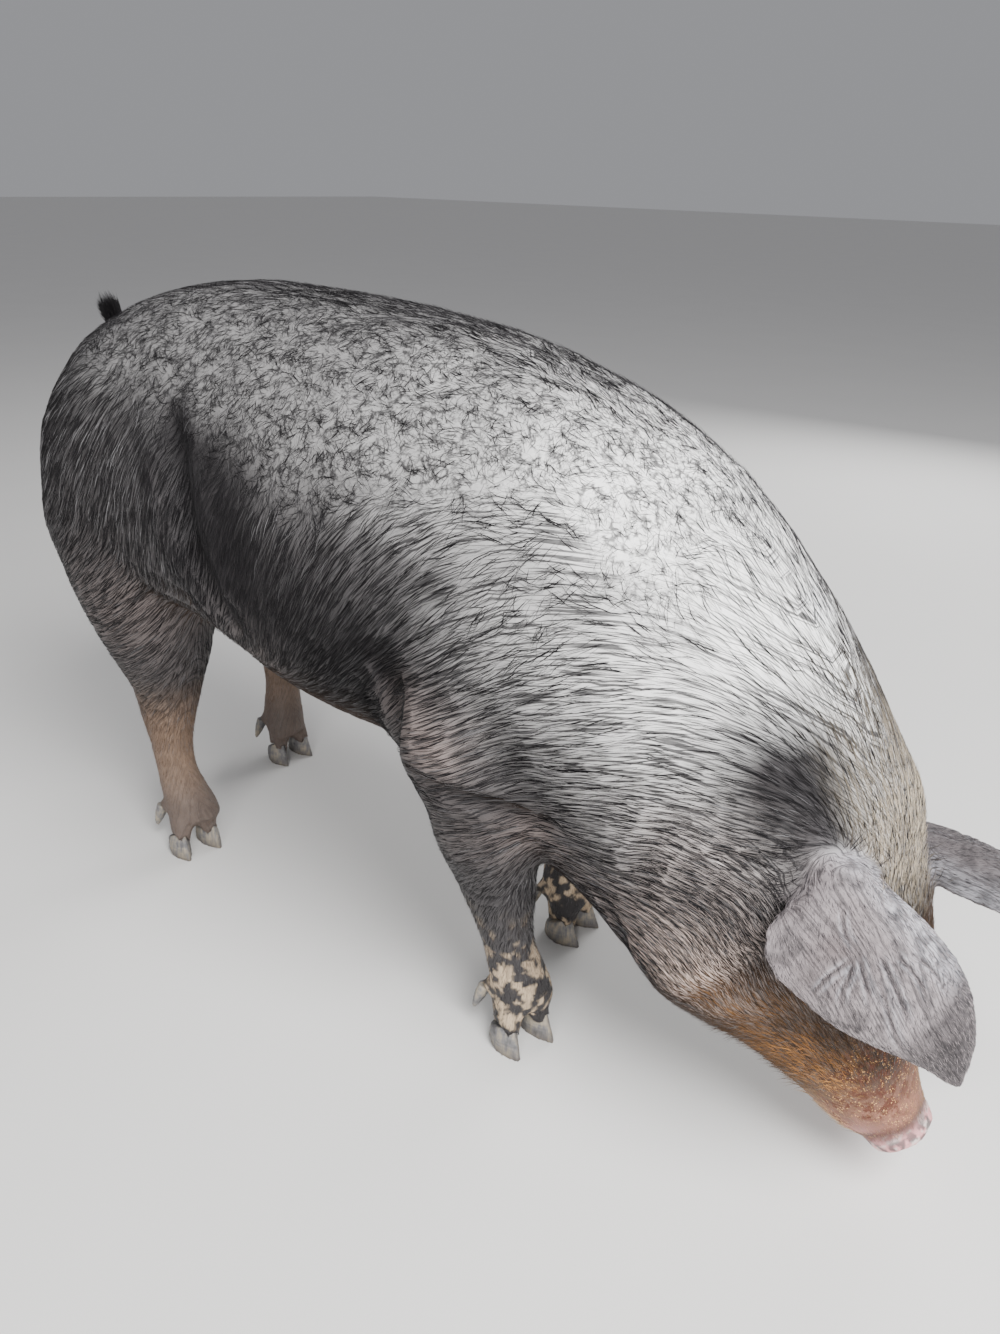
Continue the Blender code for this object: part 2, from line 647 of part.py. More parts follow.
def whole_body():
    """The pig's flesh as one closed surface, without ears, eyes, tail and hooves."""
    pieces = [trunk()]
    for name, side, end, shift, toe_out in FEET:
        pieces.append(leg(name + "_form", side, end, shift, toe_out))
        pieces.extend(toes(name, side, end, shift, toe_out))
    shape = bmesh.new()
    for piece in pieces:
        shape.from_mesh(piece.data)
    mesh = bpy.data.meshes.new("body")
    shape.to_mesh(mesh)
    shape.free()
    body = bpy.data.objects.new("body", mesh)
    bpy.context.collection.objects.link(body)
    remove(*pieces)
    remesh = body.modifiers.new("Remesh", "REMESH")
    remesh.mode = "VOXEL"
    remesh.voxel_size = VOXEL
    baked(body)
    places = coordinates(body)
    joins = smooth_step(places[:, 2], 0.22, 0.32) * (1.0 - smooth_step(places[:, 2], 0.52, 0.62))
    joins *= 1.0 - smooth_step(places[:, 0], 0.42, 0.50)
    relax(body, 45, 0.5 * joins)
    relax(body, 5, np.full(len(places), 0.4))
    sculpt(body)
    relax(body, 2, np.full(len(places), 0.4))
    return keep_largest(thinned(body))


def ear(name, side):
    """A large ear as a cupped sheet, thick at its root, hanging over the eye."""
    lengthwise = Vector(EAR_LENGTHWISE[side]).normalized()
    outward_face = Vector(EAR_OUTWARD[side]).normalized()
    outward_face = (outward_face - lengthwise * outward_face.dot(lengthwise)).normalized()
    across = outward_face.cross(lengthwise) * -side
    root = Vector(EAR_ROOT[side])
    leading = smooth_run(EAR_LEADING_EDGE, EAR_ROWS, [0, 1])
    trailing = smooth_run(EAR_TRAILING_EDGE, EAR_ROWS, [0, 1])
    faces_of = []
    for row in range(-EAR_ROOT_ROWS, EAR_ROWS):
        share = max(row, 0) / (EAR_ROWS - 1)
        sunk = min(row, 0)
        line = []
        for column in range(EAR_COLUMNS + 1):
            w = column / EAR_COLUMNS
            u, v = trailing[max(row, 0)] * (1.0 - w) + leading[max(row, 0)] * w
            arch = 4.0 * w * (1.0 - w)
            taper = 1.0 - smooth_step(share, 0.65, 1.0)
            height = EAR_CUP * arch * (0.35 + 0.65 * taper) - EAR_DROOP * (share - 0.15) ** 2
            u += EAR_ROOT_STEP * sunk
            height += EAR_ROOT_STEP * sunk
            thick = EAR_THICKNESS * (0.65 + 0.35 * min(1.0, arch * 2.0))
            thick += EAR_ROOT_THICKNESS * (1.0 - smooth_step(share, 0.0, 0.28)) * arch
            line.append((u, v, height, thick))
        faces_of.append(line)
    grid = np.array(faces_of)
    middle = (np.array(root)[None, None, :] + grid[..., 0:1] * np.array(lengthwise)
              + grid[..., 1:2] * np.array(across) + grid[..., 2:3] * np.array(outward_face))
    du = np.gradient(middle, axis=0)
    dv = np.gradient(middle, axis=1)
    facing = np.cross(du, dv)
    facing /= np.maximum(np.linalg.norm(facing, axis=2, keepdims=True), 1e-9)
    facing *= np.sign((facing @ np.array(outward_face)).mean())
    upper = middle + facing * grid[..., 3:4] * EAR_OUTER_SHARE
    lower = middle - facing * grid[..., 3:4] * (1.0 - EAR_OUTER_SHARE)
    rows, columns = grid.shape[:2]
    points = list(upper.reshape(-1, 3)) + list(lower.reshape(-1, 3))
    faces = []
    half = rows * columns
    for row in range(rows - 1):
        for column in range(columns - 1):
            a, b = row * columns + column, row * columns + column + 1
            c, d = b + columns, a + columns
            faces += [(a, b, c), (a, c, d), (half + a, half + c, half + b),
                      (half + a, half + d, half + c)]
    rim = list(range(columns))
    rim += [row * columns + columns - 1 for row in range(1, rows)]
    rim += [(rows - 1) * columns + column for column in range(columns - 2, -1, -1)]
    rim += [row * columns for row in range(rows - 2, 0, -1)]
    for here, there in zip(rim, rim[1:] + rim[:1]):
        faces += [(here, half + here, half + there), (here, half + there, there)]
    made = mesh_object(name, points, faces)
    outward(made)
    return made


def ball(name, centre, radius, segments=16, rings=8):
    bpy.ops.mesh.primitive_uv_sphere_add(segments=segments, ring_count=rings, radius=radius,
                                         location=centre)
    made = bpy.context.active_object
    made.name = name
    made.data.transform(made.matrix_world)
    made.matrix_world = Matrix.Identity(4)
    return triangulate(made)


def tree_of(target):
    graph = bpy.context.evaluated_depsgraph_get()
    return BVHTree.FromObject(target, graph)


def eye_frame(tree, side):
    """Where the eye sits: the skin's point and facing, and the eye's long and short way."""
    x, z = EYE_PLACE
    spot, facing, _, _ = tree.ray_cast(Vector((x, 0.4 * side, z)), Vector((0.0, -side, 0.0)))
    facing = (facing + Vector((0.25, side * 0.6, 0.10))).normalized()
    long_way = Vector((0.45, 0.0, -0.89))
    long_way = (long_way - facing * long_way.dot(facing)).normalized()
    short_way = facing.cross(long_way).normalized()
    return spot, facing, long_way, short_way


def lids(name, tree, side):
    """A raised almond rim round one eye."""
    spot, facing, long_way, short_way = eye_frame(tree, side)
    loops = []
    for step in range(LID_TURNS):
        angle = 2.0 * math.pi * step / LID_TURNS
        along = math.cos(angle) * (EYE_OPENING[0] + LID_RADIUS)
        wide = math.sin(angle) * (EYE_OPENING[1] + LID_RADIUS)
        wide *= 1.0 - EYE_CORNER_PINCH * abs(math.cos(angle))
        over = math.sqrt(max(EYE_RADIUS**2 - (along**2 + wide**2) * 0.45, 0.0))
        middle = spot + long_way * along + short_way * wide + facing * (over - EYE_DEPTH - 0.001)
        radial = (long_way * along + short_way * wide).normalized()
        ring = []
        for part in range(LID_SIDES):
            turn = 2.0 * math.pi * part / LID_SIDES
            ring.append(middle + LID_RADIUS * (radial * math.cos(turn) + facing * math.sin(turn)))
        loops.append(ring)
    points = [point for ring in loops for point in ring]
    faces = []
    for step in range(LID_TURNS):
        here, there = step * LID_SIDES, (step + 1) % LID_TURNS * LID_SIDES
        for part in range(LID_SIDES):
            following = (part + 1) % LID_SIDES
            faces.append((here + part, here + following, there + following, there + part))
    made = mesh_object(name, points, faces)
    outward(made)
    return made


def eye_opening(name, tree, side):
    """An almond prism that opens the skin over one eye."""
    spot, facing, long_way, short_way = eye_frame(tree, side)
    loops = []
    for reach in (-EYE_DEPTH, CUTTER_REACH):
        ring = []
        for step in range(LID_TURNS):
            angle = 2.0 * math.pi * step / LID_TURNS
            along = math.cos(angle) * EYE_OPENING[0]
            pinch = 1.0 - EYE_CORNER_PINCH * abs(math.cos(angle))
            wide = math.sin(angle) * EYE_OPENING[1] * pinch
            ring.append(spot + long_way * along + short_way * wide + facing * reach)
        loops.append(ring)
    return loft(name, loops)


def tube(name, route, sides):
    """A closed tube along points that each carry a radius."""
    route = np.array(route)
    tangents = np.gradient(route[:, :3], axis=0)
    tangents /= np.linalg.norm(tangents, axis=1)[:, None]
    side = np.cross(tangents[0], (0.0, 0.3, 1.0))
    rings = []
    turn = np.linspace(0.0, 2.0 * math.pi, sides, endpoint=False)[:, None]
    for (x, y, z, radius), tangent in zip(route, tangents):
        side = side - tangent * side.dot(tangent)
        side /= np.linalg.norm(side)
        other = np.cross(tangent, side)
        rings.append(np.array((x, y, z)) + radius * (np.cos(turn) * side + np.sin(turn) * other))
    return loft(name, rings)


def mouth_grooves(tree):
    """The line of the mouth, as a thin tube on the skin from one corner round to the other."""
    route = []
    for step in range(2 * MOUTH_HALF_POINTS + 1):
        share = abs(step / MOUTH_HALF_POINTS - 1.0)
        side = RIGHT if step < MOUTH_HALF_POINTS else LEFT
        bend = share ** 1.5
        x = MOUTH_FRONT[0] + (MOUTH_CORNER[0] - MOUTH_FRONT[0]) * bend
        z = MOUTH_FRONT[1] + (MOUTH_CORNER[1] - MOUTH_FRONT[1]) * bend
        z -= MOUTH_SAG * math.sin(math.pi * share)
        tilt = math.pi * 0.5 * smooth_step(np.array(share), 0.0, 0.5)
        way = Vector((-0.85 * math.cos(tilt), side * math.sin(tilt), -0.5 * math.cos(tilt)))
        way.normalize()
        centre = Vector((x, 0.0, z)) - Vector((-0.85, 0.0, -0.5)) * 0.03 * math.cos(tilt)
        spot, _, _, _ = tree.ray_cast(centre + way * 0.3, -way)
        route.append((*spot, MOUTH_GROOVE_RADIUS * (0.6 + 0.4 * math.sin(math.pi * share))))
    return tube("mouth_line", smooth_run(route, MOUTH_RINGS, [0, 1, 2]), MOUTH_SIDES)


def disc_cut():
    """The plane that parts the snout disc from the muzzle."""
    last, before = np.array(TRUNK_STATIONS[-1][:2]), np.array(TRUNK_STATIONS[-2][:2])
    along = last - before
    along /= np.linalg.norm(along)
    spot = last - along * DISC_PLANE_BACK
    return (spot[0], 0.0, spot[1]), (along[0], 0.0, along[1])


def nostrils():
    """Two oval holes bored into the snout disc."""
    _, facing = disc_cut()
    facing = Vector(facing)
    up_disc = Vector((-facing.z, 0.0, facing.x))
    end_x, end_z = TRUNK_STATIONS[-1][:2]
    cutters = []
    for side in (LEFT, RIGHT):
        middle = Vector((end_x, NOSTRIL_OFFSET * side, end_z)) + up_disc * 0.002
        loops = []
        for reach, size in ((-NOSTRIL_DEPTH, NOSTRIL_END_SHARE), (CUTTER_REACH, 1.0)):
            ring = []
            for step in range(NOSTRIL_SIDES):
                angle = 2.0 * math.pi * step / NOSTRIL_SIDES
                ring.append(middle + facing * reach
                            + Vector((0.0, 1.0, 0.0)) * math.cos(angle) * NOSTRIL_RADII[0] * size
                            + up_disc * math.sin(angle) * NOSTRIL_RADII[1] * size)
            loops.append(ring)
        cutters.append(loft("nostril", loops))
    return cutters


def half_space(name, point, facing, sign):
    """A large block that ends at a cut, half the gap away from it."""
    facing = Vector(facing).normalized() * sign
    bpy.ops.mesh.primitive_cube_add(size=1.0)
    block = bpy.context.active_object
    block.name = name
    turn = facing.to_track_quat("Z", "Y").to_matrix().to_4x4()
    middle = Vector(point) + facing * (1.0 + GAP * 0.5)
    block.data.transform(Matrix.Translation(middle) @ turn @ Matrix.Diagonal((2.0, 2.0, 2.0, 1.0)))
    return block


def parted(body, name, cut):
    """Cuts the front of a body off at a plane, and returns the front as its own object."""
    point, facing = cut
    front = duplicate(body, name)
    ahead = half_space("ahead", point, facing, 1)
    behind = half_space("behind", point, facing, -1)
    combine(front, ahead, "INTERSECT")
    combine(body, behind, "INTERSECT")
    remove(ahead, behind)
    return keep_largest(front)


def leg_block(name, side, end, margin):
    """The block of space that one leg fills below its cut from the trunk."""
    point, facing = FORELEG_CUT if end == "fore" else HINDLEG_CUT
    low_x, high_x = FORELEG_SPAN if end == "fore" else HINDLEG_SPAN
    facing = Vector(mirrored((facing[0], -facing[1], facing[2]), side)).normalized()
    facing.y = -abs(facing.y) * side
    point = Vector(mirrored(point, side)) + facing * margin
    inner, outer = LEG_INNER_SIDE - margin, 0.42
    corners = []
    for x in (low_x - margin, high_x + margin):
        for y in (inner * side, outer * side):
            top = point.z - ((x - point.x) * facing.x + (y - point.y) * facing.y) / facing.z
            corners.append((x, y, -0.10))
            corners.append((x, y, top))
    faces = [(0, 1, 3, 2), (4, 6, 7, 5), (0, 4, 5, 1), (2, 3, 7, 6), (0, 2, 6, 4), (1, 5, 7, 3)]
    made = mesh_object(name, corners, faces)
    outward(made)
    return made


def tail():
    return tube("tail", smooth_run(TAIL_ROUTE, TAIL_RINGS, [0, 1, 2]), TAIL_SIDES)


def lock(name, start, aim, bend, length, width, thickness, turn):
    """One flat tapered lock of bristles that bends as it goes."""
    start, aim, bend = Vector(start), Vector(aim).normalized(), Vector(bend)
    side = aim.cross(Vector((math.cos(turn), math.sin(turn), 0.2))).normalized()
    flat = aim.cross(side).normalized()
    loops = []
    for share in (0.0, 0.3, 0.62, 1.0):
        middle = start + aim * length * share + bend * length * share**2
        across = width * (0.75 + 0.5 * share - 1.13 * share**2) * 0.5
        deep = thickness * (1.0 - 0.80 * share) * 0.5
        loops.append([middle + side * across * c + flat * deep * s
                      for c, s in ((1.0, 0.0), (0.4, 1.0), (-0.4, 1.0), (-1.0, 0.0),
                                   (-0.4, -1.0), (0.4, -1.0))])
    return loft(name, loops)


def tail_tuft():
    """The tuft at the end of the tail: a small core and locks that fan out from it."""
    rng = np.random.default_rng(7)
    run = smooth_run(TAIL_ROUTE, TAIL_RINGS, [0, 1, 2])
    end, before = Vector(run[-1, :3]), Vector(run[-4, :3])
    along = (end - before).normalized()
    core_start = TAIL_ROUTE[-1][3] + 0.0016
    core = capsule("tuft_core", end + along * core_start, end + along * TUFT_CORE_END,
                   *TUFT_CORE_RADII, 10, 7)
    side = along.orthogonal().normalized()
    other = along.cross(side)
    pieces = [core]
    for number in range(TUFT_LOCKS):
        around = number * GOLDEN_TURN
        share = (number + 0.5) / TUFT_LOCKS
        spread = math.radians(TUFT_SPREAD) * math.sqrt(share)
        radial = side * math.cos(around) + other * math.sin(around)
        aim = along * math.cos(spread) + radial * math.sin(spread)
        start = end + along * (0.012 - 0.002 * share) + radial * 0.0022
        length = TUFT_LENGTH * (1.0 - 0.35 * share) * rng.uniform(0.85, 1.1)
        bend = Vector(TUFT_BEND) * rng.uniform(0.6, 1.3) + radial * 0.05
        pieces.append(lock("tuft_lock", start, aim, bend, length, TUFT_WIDTH, TUFT_THICKNESS,
                           around + 1.0))
    return keep_largest(united("tail_tuft", pieces))


def material(name):
    colour, roughness, metallic = FINISHES[name]
    made = bpy.data.materials.new(name)
    made.use_nodes = True
    shader = made.node_tree.nodes["Principled BSDF"]
    shader.inputs["Base Color"].default_value = (*colour, 1.0)
    shader.inputs["Roughness"].default_value = roughness
    shader.inputs["Metallic"].default_value = metallic
    return made


def finish(target, finish_name):
    """Gives a node its material and its shading."""
    target.data.materials.clear()
    made = material(finish_name)
    made.name = target.name + "_" + finish_name
    target.data.materials.append(made)
    target.data.shade_smooth()
    target.data.set_sharp_from_angle(angle=math.radians(50.0))


def centred(nodes):
    """Moves the whole pig so that the origin lies under the middle of its box."""
    low = np.min([coordinates(node).min(axis=0) for node in nodes], axis=0)
    high = np.max([coordinates(node).max(axis=0) for node in nodes], axis=0)
    shift = Vector((-(low[0] + high[0]) / 2.0, -(low[1] + high[1]) / 2.0, 0.0))
    for node in nodes:
        node.data.transform(Matrix.Translation(shift))


def build():
    clear_scene()
    body = whole_body()
    skin = grown(body, GAP, "skin_with_gap")
    tree = tree_of(body)

    claws, dewclaws = [], []
    for name, side, end, shift, toe_out in FEET:
        for spread, place in ((1, "outer"), (-1, "inner")):
            claws.append(claw(name + "_hoof_" + place, side, end, shift, toe_out, spread))
            dewclaws.append(dewclaw(name + "_dewclaw_" + place, side, end, shift, toe_out, spread))

    rims = [lids("lids", tree, side) for side in (LEFT, RIGHT)]
    for rim in rims:
        combine(body, rim, "UNION")
    keep_largest(body)
    eyes = []
    for label, side in (("eye_left", LEFT), ("eye_right", RIGHT)):
        spot, facing, _, _ = eye_frame(tree, side)
        centre = spot - facing * EYE_DEPTH
        opening = eye_opening("opening", tree, side)
        combine(body, opening, "DIFFERENCE")
        socket = ball("socket", centre, EYE_RADIUS + GAP)
        combine(body, socket, "DIFFERENCE")
        remove(opening, socket)
        eyes.append(ball(label, centre, EYE_RADIUS))
    groove = mouth_grooves(tree)
    combine(body, groove, "DIFFERENCE")
    remove(groove, *rims)
    keep_largest(body)

    for part in claws + dewclaws:
        hollow = grown(part, GAP * 1.5, "hollow")
        combine(body, hollow, "DIFFERENCE")
        remove(hollow)
    keep_largest(body)

    ears = []
    for label, side in (("ear_left", LEFT), ("ear_right", RIGHT)):
        made = ear(label, side)
        combine(made, skin, "DIFFERENCE")
        ears.append(keep_largest(made))
    tail_node = tail()
    combine(tail_node, skin, "DIFFERENCE")
    keep_largest(tail_node)
    tuft = tail_tuft()
    remove(skin)

    legs = []
    for name, side, end, _, _ in FEET:
        piece = duplicate(body, name)
        block = leg_block("leg_block", side, end, 0.0)
        combine(piece, block, "INTERSECT")
        legs.append(keep_largest(piece))
        wide = leg_block("leg_block_wide", side, end, GAP)
        combine(body, wide, "DIFFERENCE")
        remove(block, wide)
    keep_largest(body)
    neck = parted(body, "neck", NECK_CUT)
    head = parted(neck, "head", HEAD_CUT)
    disc = parted(head, "snout_disc", disc_cut())
    for hole in nostrils():
        combine(disc, hole, "DIFFERENCE")
        remove(hole)
    keep_largest(disc)
    for target in (body, neck, head):
        keep_largest(target)
    body.name = "torso"

    nodes = [body, neck, head, disc, tail_node, tuft] + legs + ears + eyes + claws + dewclaws
    finishes = {"snout_disc": "snout", "tail_tuft": "bristle"}
    for node in nodes:
        label = finishes.get(node.name, "hide")
        if "hoof" in node.name or "dewclaw" in node.name:
            label = "hoof"
        if node.name.startswith("eye"):
            label = "eye"
        finish(node, label)
    centred(nodes)
    home = bpy.data.collections.new("domestic_pig")
    bpy.context.scene.collection.children.link(home)
    for node in nodes:
        for collection in list(node.users_collection):
            collection.objects.unlink(node)
        home.objects.link(node)
    return nodes


build()
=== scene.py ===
"""The finished look of a life-size domestic pig: skin, folds, lids, bristles, eyes and hooves.

Metres. +X is forward, +Y is the pig's left and +Z is up. One skin follows the solids of the
flesh a little below their surface, and a coat of bristles lies over it.
"""

import math
from types import SimpleNamespace

import bmesh
import bpy
import numpy as np
from mathutils import Matrix, Vector
from mathutils.bvhtree import BVHTree
from mathutils.kdtree import KDTree
from numpy.linalg import norm


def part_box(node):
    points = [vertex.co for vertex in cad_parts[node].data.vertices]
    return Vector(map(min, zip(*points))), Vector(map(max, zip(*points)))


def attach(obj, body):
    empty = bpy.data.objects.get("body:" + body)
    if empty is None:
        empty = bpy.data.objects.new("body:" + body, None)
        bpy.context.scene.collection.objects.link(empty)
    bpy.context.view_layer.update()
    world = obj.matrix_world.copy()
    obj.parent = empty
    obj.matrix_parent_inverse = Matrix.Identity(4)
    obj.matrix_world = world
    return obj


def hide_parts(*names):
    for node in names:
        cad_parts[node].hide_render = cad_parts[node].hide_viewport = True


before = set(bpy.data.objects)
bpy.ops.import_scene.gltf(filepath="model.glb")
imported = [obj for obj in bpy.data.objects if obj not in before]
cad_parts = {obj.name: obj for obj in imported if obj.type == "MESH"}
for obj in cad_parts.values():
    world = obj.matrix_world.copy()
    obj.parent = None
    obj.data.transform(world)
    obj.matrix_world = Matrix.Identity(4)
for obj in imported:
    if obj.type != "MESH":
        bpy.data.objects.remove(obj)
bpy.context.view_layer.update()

LEFT, RIGHT = 1, -1
SIDES = (LEFT, RIGHT)
SEED = 11

# Nodes of flesh that the skin stands for, and the kinds of form among them
FLESH = ("torso", "neck", "head", "snout_disc", "tail", "foreleg_left", "foreleg_right",
         "hindleg_left", "hindleg_right", "ear_left", "ear_right")
EARS = {LEFT: "ear_left", RIGHT: "ear_right"}
EYES = {LEFT: "eye_left", RIGHT: "eye_right"}
LEGS = ("foreleg_left", "foreleg_right", "hindleg_left", "hindleg_right")
KINDS = ("torso", "neck", "head", "leg", "snout_disc", "tail", "ear")
SMALL_KINDS = ("snout_disc", "tail", "ear")

# The pig is drawn with its shoulders near x = 0.2, then moved back to stand over the origin
EYE_X = 0.6854
eye_low, eye_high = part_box("eye_left")
ORIGIN = np.array(((eye_low[0] + eye_high[0]) / 2.0 - EYE_X, 0.0, 0.0))

# Skin: mesh sizes, rounds of smoothing, and its depth under the solids for each kind
SKIN_VOXEL = 0.0026
SKIN_TRIANGLES = 192000
SKIN_OVERLAP = 0.0004
SMOOTH_ROUNDS = 40
SMOOTH_STEP, SMOOTH_RETURN = 0.5, 0.52
SMOOTH_SHARES = {"torso": 1.0, "neck": 1.0, "head": 0.3, "leg": 0.45, "snout_disc": 0.1,
                 "tail": 0.12, "ear": 0.12}
SMALL_BLEND, BODY_BLEND = 6, 60
EAR_ROOT_ROUNDS = 45
COAT_DEPTH = {"torso": 0.0026, "neck": 0.0026, "head": 0.0012, "leg": 0.0014,
              "snout_disc": 0.0003, "tail": 0.001, "ear": 0.0004}

# Middle line of the trunk, neck and head, from the rump to the snout: x and z
SPINE = ((-0.478, 0.6), (-0.22, 0.57), (0.16, 0.557), (0.37, 0.505), (0.535, 0.375),
         (0.644, 0.222), (0.746, 0.064))
SNOUT_TIP = (0.746, 0.0, 0.064)
DISC_FACING = (0.567, 0.0, -0.824)
TAIL_LINE = ((-0.415, 0.0, 0.665), (-0.47, 0.0, 0.69), (-0.512, -0.006, 0.69),
             (-0.541, -0.01, 0.66), (-0.548, 0.006, 0.624), (-0.543, 0.032, 0.615),
             (-0.535, 0.048, 0.636), (-0.532, 0.047, 0.672), (-0.531, 0.038, 0.706),
             (-0.53, 0.032, 0.725))
EAR_ROOT = {RIGHT: (0.67, -0.085, 0.375), LEFT: (0.688, 0.08, 0.318)}
EAR_LENGTHWISE = {RIGHT: (0.684, 0.025, -0.729), LEFT: (0.88, 0.4, -0.13)}
EAR_OUTWARD = {RIGHT: (0.576, -0.631, 0.519), LEFT: (0.34, 0.22, 0.91)}

# Folds sunk in the skin: depth, width, raised lip, and the route for the left side
FOLDS = (
    # Flank, from the loin down between thigh and belly
    (0.009, 0.0062, 0.15, (
        (-0.122, 0.185, 0.712), (-0.084, 0.198, 0.676), (-0.056, 0.212, 0.627),
        (-0.041, 0.218, 0.575), (-0.027, 0.218, 0.532), (-0.008, 0.212, 0.497),
        (0.03, 0.195, 0.455))),
    (0.004, 0.008, 0.25, (
        (-0.19, 0.2, 0.5), (-0.12, 0.205, 0.49), (-0.06, 0.205, 0.478),
        (-0.01, 0.2, 0.462))),
    # Under the ham
    (0.004, 0.01, 0.15, (
        (-0.44, 0.12, 0.52), (-0.39, 0.165, 0.515), (-0.32, 0.2, 0.49))),
    # Round the elbow
    (0.0095, 0.0085, 0.2, (
        (0.246, 0.21, 0.512), (0.252, 0.212, 0.465), (0.244, 0.206, 0.42),
        (0.228, 0.19, 0.372), (0.222, 0.165, 0.32))),
    (0.0095, 0.0085, 0.2, (
        (0.262, 0.205, 0.392), (0.302, 0.205, 0.386), (0.342, 0.188, 0.376),
        (0.385, 0.16, 0.36), (0.424, 0.156, 0.362))),
    (0.003, 0.015, 0.0, (
        (0.34, 0.19, 0.52), (0.372, 0.19, 0.46), (0.38, 0.18, 0.39))),
    # Behind the ear
    (0.0045, 0.005, 0.25, (
        (0.56, 0.148, 0.396), (0.6, 0.135, 0.4), (0.644, 0.108, 0.425))),
    (0.003, 0.0045, 0.25, (
        (0.572, 0.145, 0.414), (0.61, 0.13, 0.419), (0.648, 0.104, 0.442))),
    # Front of the jowl, and the throat
    (0.003, 0.01, 0.1, (
        (0.64, 0.125, 0.345), (0.622, 0.128, 0.305), (0.6, 0.131, 0.262),
        (0.57, 0.126, 0.222), (0.545, 0.1, 0.195))),
    (0.004, 0.009, 0.15, (
        (0.452, 0.14, 0.31), (0.468, 0.13, 0.255), (0.48, 0.09, 0.205),
        (0.478, 0.0, 0.19))),
    # Hock and knee
    (0.005, 0.004, 0.3, (
        (-0.335, 0.15, 0.252), (-0.298, 0.155, 0.236), (-0.262, 0.135, 0.248))),
    (0.003, 0.004, 0.3, (
        (-0.332, 0.15, 0.278), (-0.296, 0.155, 0.264), (-0.262, 0.135, 0.274))),
    (0.003, 0.0035, 0.3, (
        (0.28, 0.14, 0.232), (0.312, 0.15, 0.222), (0.345, 0.125, 0.23))),
)

# Creases across forehead and muzzle: width, the steps from the middle of one out to its side,
# and the middle's x and z and the depth of each
FACE_LIP = 0.6
FACE_CREASES = (
    (0.0034, ((0.002, 0.0, -0.006), (0.0, 0.03, 0.0), (-0.016, 0.06, -0.004)),
     ((0.708, 0.33, 0.0022), (0.716, 0.306, 0.003), (0.722, 0.284, 0.0026))),
    (0.0026, ((0.0, 0.0, 0.002), (-0.004, 0.022, 0.0), (-0.022, 0.04, -0.014)),
     ((0.722, 0.15, 0.0016), (0.728, 0.132, 0.002), (0.734, 0.114, 0.0022),
      (0.74, 0.1, 0.0018))),
)
MOUTH_CORNER = (0.64, 0.12)
MOUTH_FRONT = (0.706, 0.056)
MOUTH_SAG, MOUTH_STEPS = 0.008, 29
MOUTH_FACING = (-0.85, 0.0, -0.5)
MOUTH_DEPTH, MOUTH_WIDTH, MOUTH_LIP = 0.0042, 0.0024, 0.45

# Uneven skin: noise scale, seed and depth of its bumps, and the depth of fine wrinkles
COARSE_BUMPS = ((22.0, 1, 0.0013), (55.0, 2, 0.0006))
FINE_BUMPS = (170.0, 3, 0.00035)
WRINKLE_DEPTH = 0.0006

# Creases that fan over the outer face of an ear: root to tip as u along and v across it
EAR_CREASES = (
    ((0.038, -0.027), (0.061, -0.034), (0.088, -0.042)),
    ((0.047, -0.012), (0.073, -0.015), (0.098, -0.019), (0.122, -0.024)),
    ((0.039, -0.03), (0.051, -0.042), (0.065, -0.057), (0.077, -0.062)),
    ((0.038, -0.027), (0.021, -0.028), (-0.001, -0.019)),
    ((0.054, -0.002), (0.082, 0.005), (0.108, 0.003)),
    ((0.041, -0.033), (0.046, -0.062), (0.055, -0.078)),
    ((0.06, 0.01), (0.092, 0.022), (0.12, 0.022)),
    ((0.062, -0.024), (0.092, -0.03), (0.12, -0.036), (0.14, -0.034)),
)
EAR_CREASE_DEPTH, EAR_CREASE_WIDTH, EAR_CREASE_LIP = 0.0021, 0.002, 0.55
EAR_VEINS, EAR_VEIN_DEPTH = 34.0, 0.00022

# Creases of the lids, in radii of the eye: height over its middle, half length, depth and width
LID_CREASES = ((1.0, 1.4, 0.15, 0.13), (1.38, 1.7, 0.11, 0.15), (-0.92, 1.3, 0.12, 0.13),
               (-1.3, 1.5, 0.08, 0.15))
LID_CREASE_LIP, LID_REACH = 0.5, 3.0
# Dark rim of the lids, in the same radii: half length, half height and width
LID_RIM = (1.12, 0.74, 0.3)
EYE_BULGE, EYE_SINK = 0.001, 0.0002
LASHES, LASH_LENGTH = 34, 0.013
LID_DARK = (0.03, 0.02, 0.018)
EYE_FACING = (0.42, 0.86, 0.22)
EYE_UPWARD = (0.55, 0.0, 0.6)

# Bristles: long bent strands on the body and cheeks, short straight hairs elsewhere
STRANDS, STRANDS_A_PIECE = 116000, 19400
HAIRS, HAIRS_A_PIECE = 84000, 42500
STRAND_RADIUS, HAIR_RADIUS = 0.0003, 0.00022
STRAND_LENGTH, HAIR_LENGTH = 0.038, 0.0055
RUFF_HEIGHT, CHIN_LENGTH = 0.012, 0.012
FULLNESS = 0.7
STRANDS_A_LOCK, LOCK_PULL = 5, 0.14
TIP_HEIGHT, MIDDLE_HEIGHT = 0.0014, 0.001
BAKE_PATCH = 0.003
TUFT_BRISTLES, TUFT_SPREAD = 640, 30.0
# GREY_SHARE: the share of grey bristles, partly real grey hairs and partly painted sheen on black
# ones
GREY_SHARE, QUICK_SHARE = 0.16, 0.25
ROOT_DEPTH = 0.0004

# Height of the line above which the back's coat is short and felted, along x
FELT_EDGE = ((-0.45, 0.745), (-0.1, 0.671), (0.03, 0.643), (0.137, 0.625), (0.21, 0.644),
             (0.33, 0.668), (0.383, 0.677), (0.42, 0.643), (0.5, 0.568), (0.57, 0.504))

# Share of the painted sheen (silver) on the upper side, along x: the light from above and in front
# shining on the back and neck
SHEEN_SHARE = ((-0.45, 0.14), (-0.2, 0.18), (0.1, 0.19), (0.3, 0.41), (0.42, 0.95),
                (0.6, 1.0))

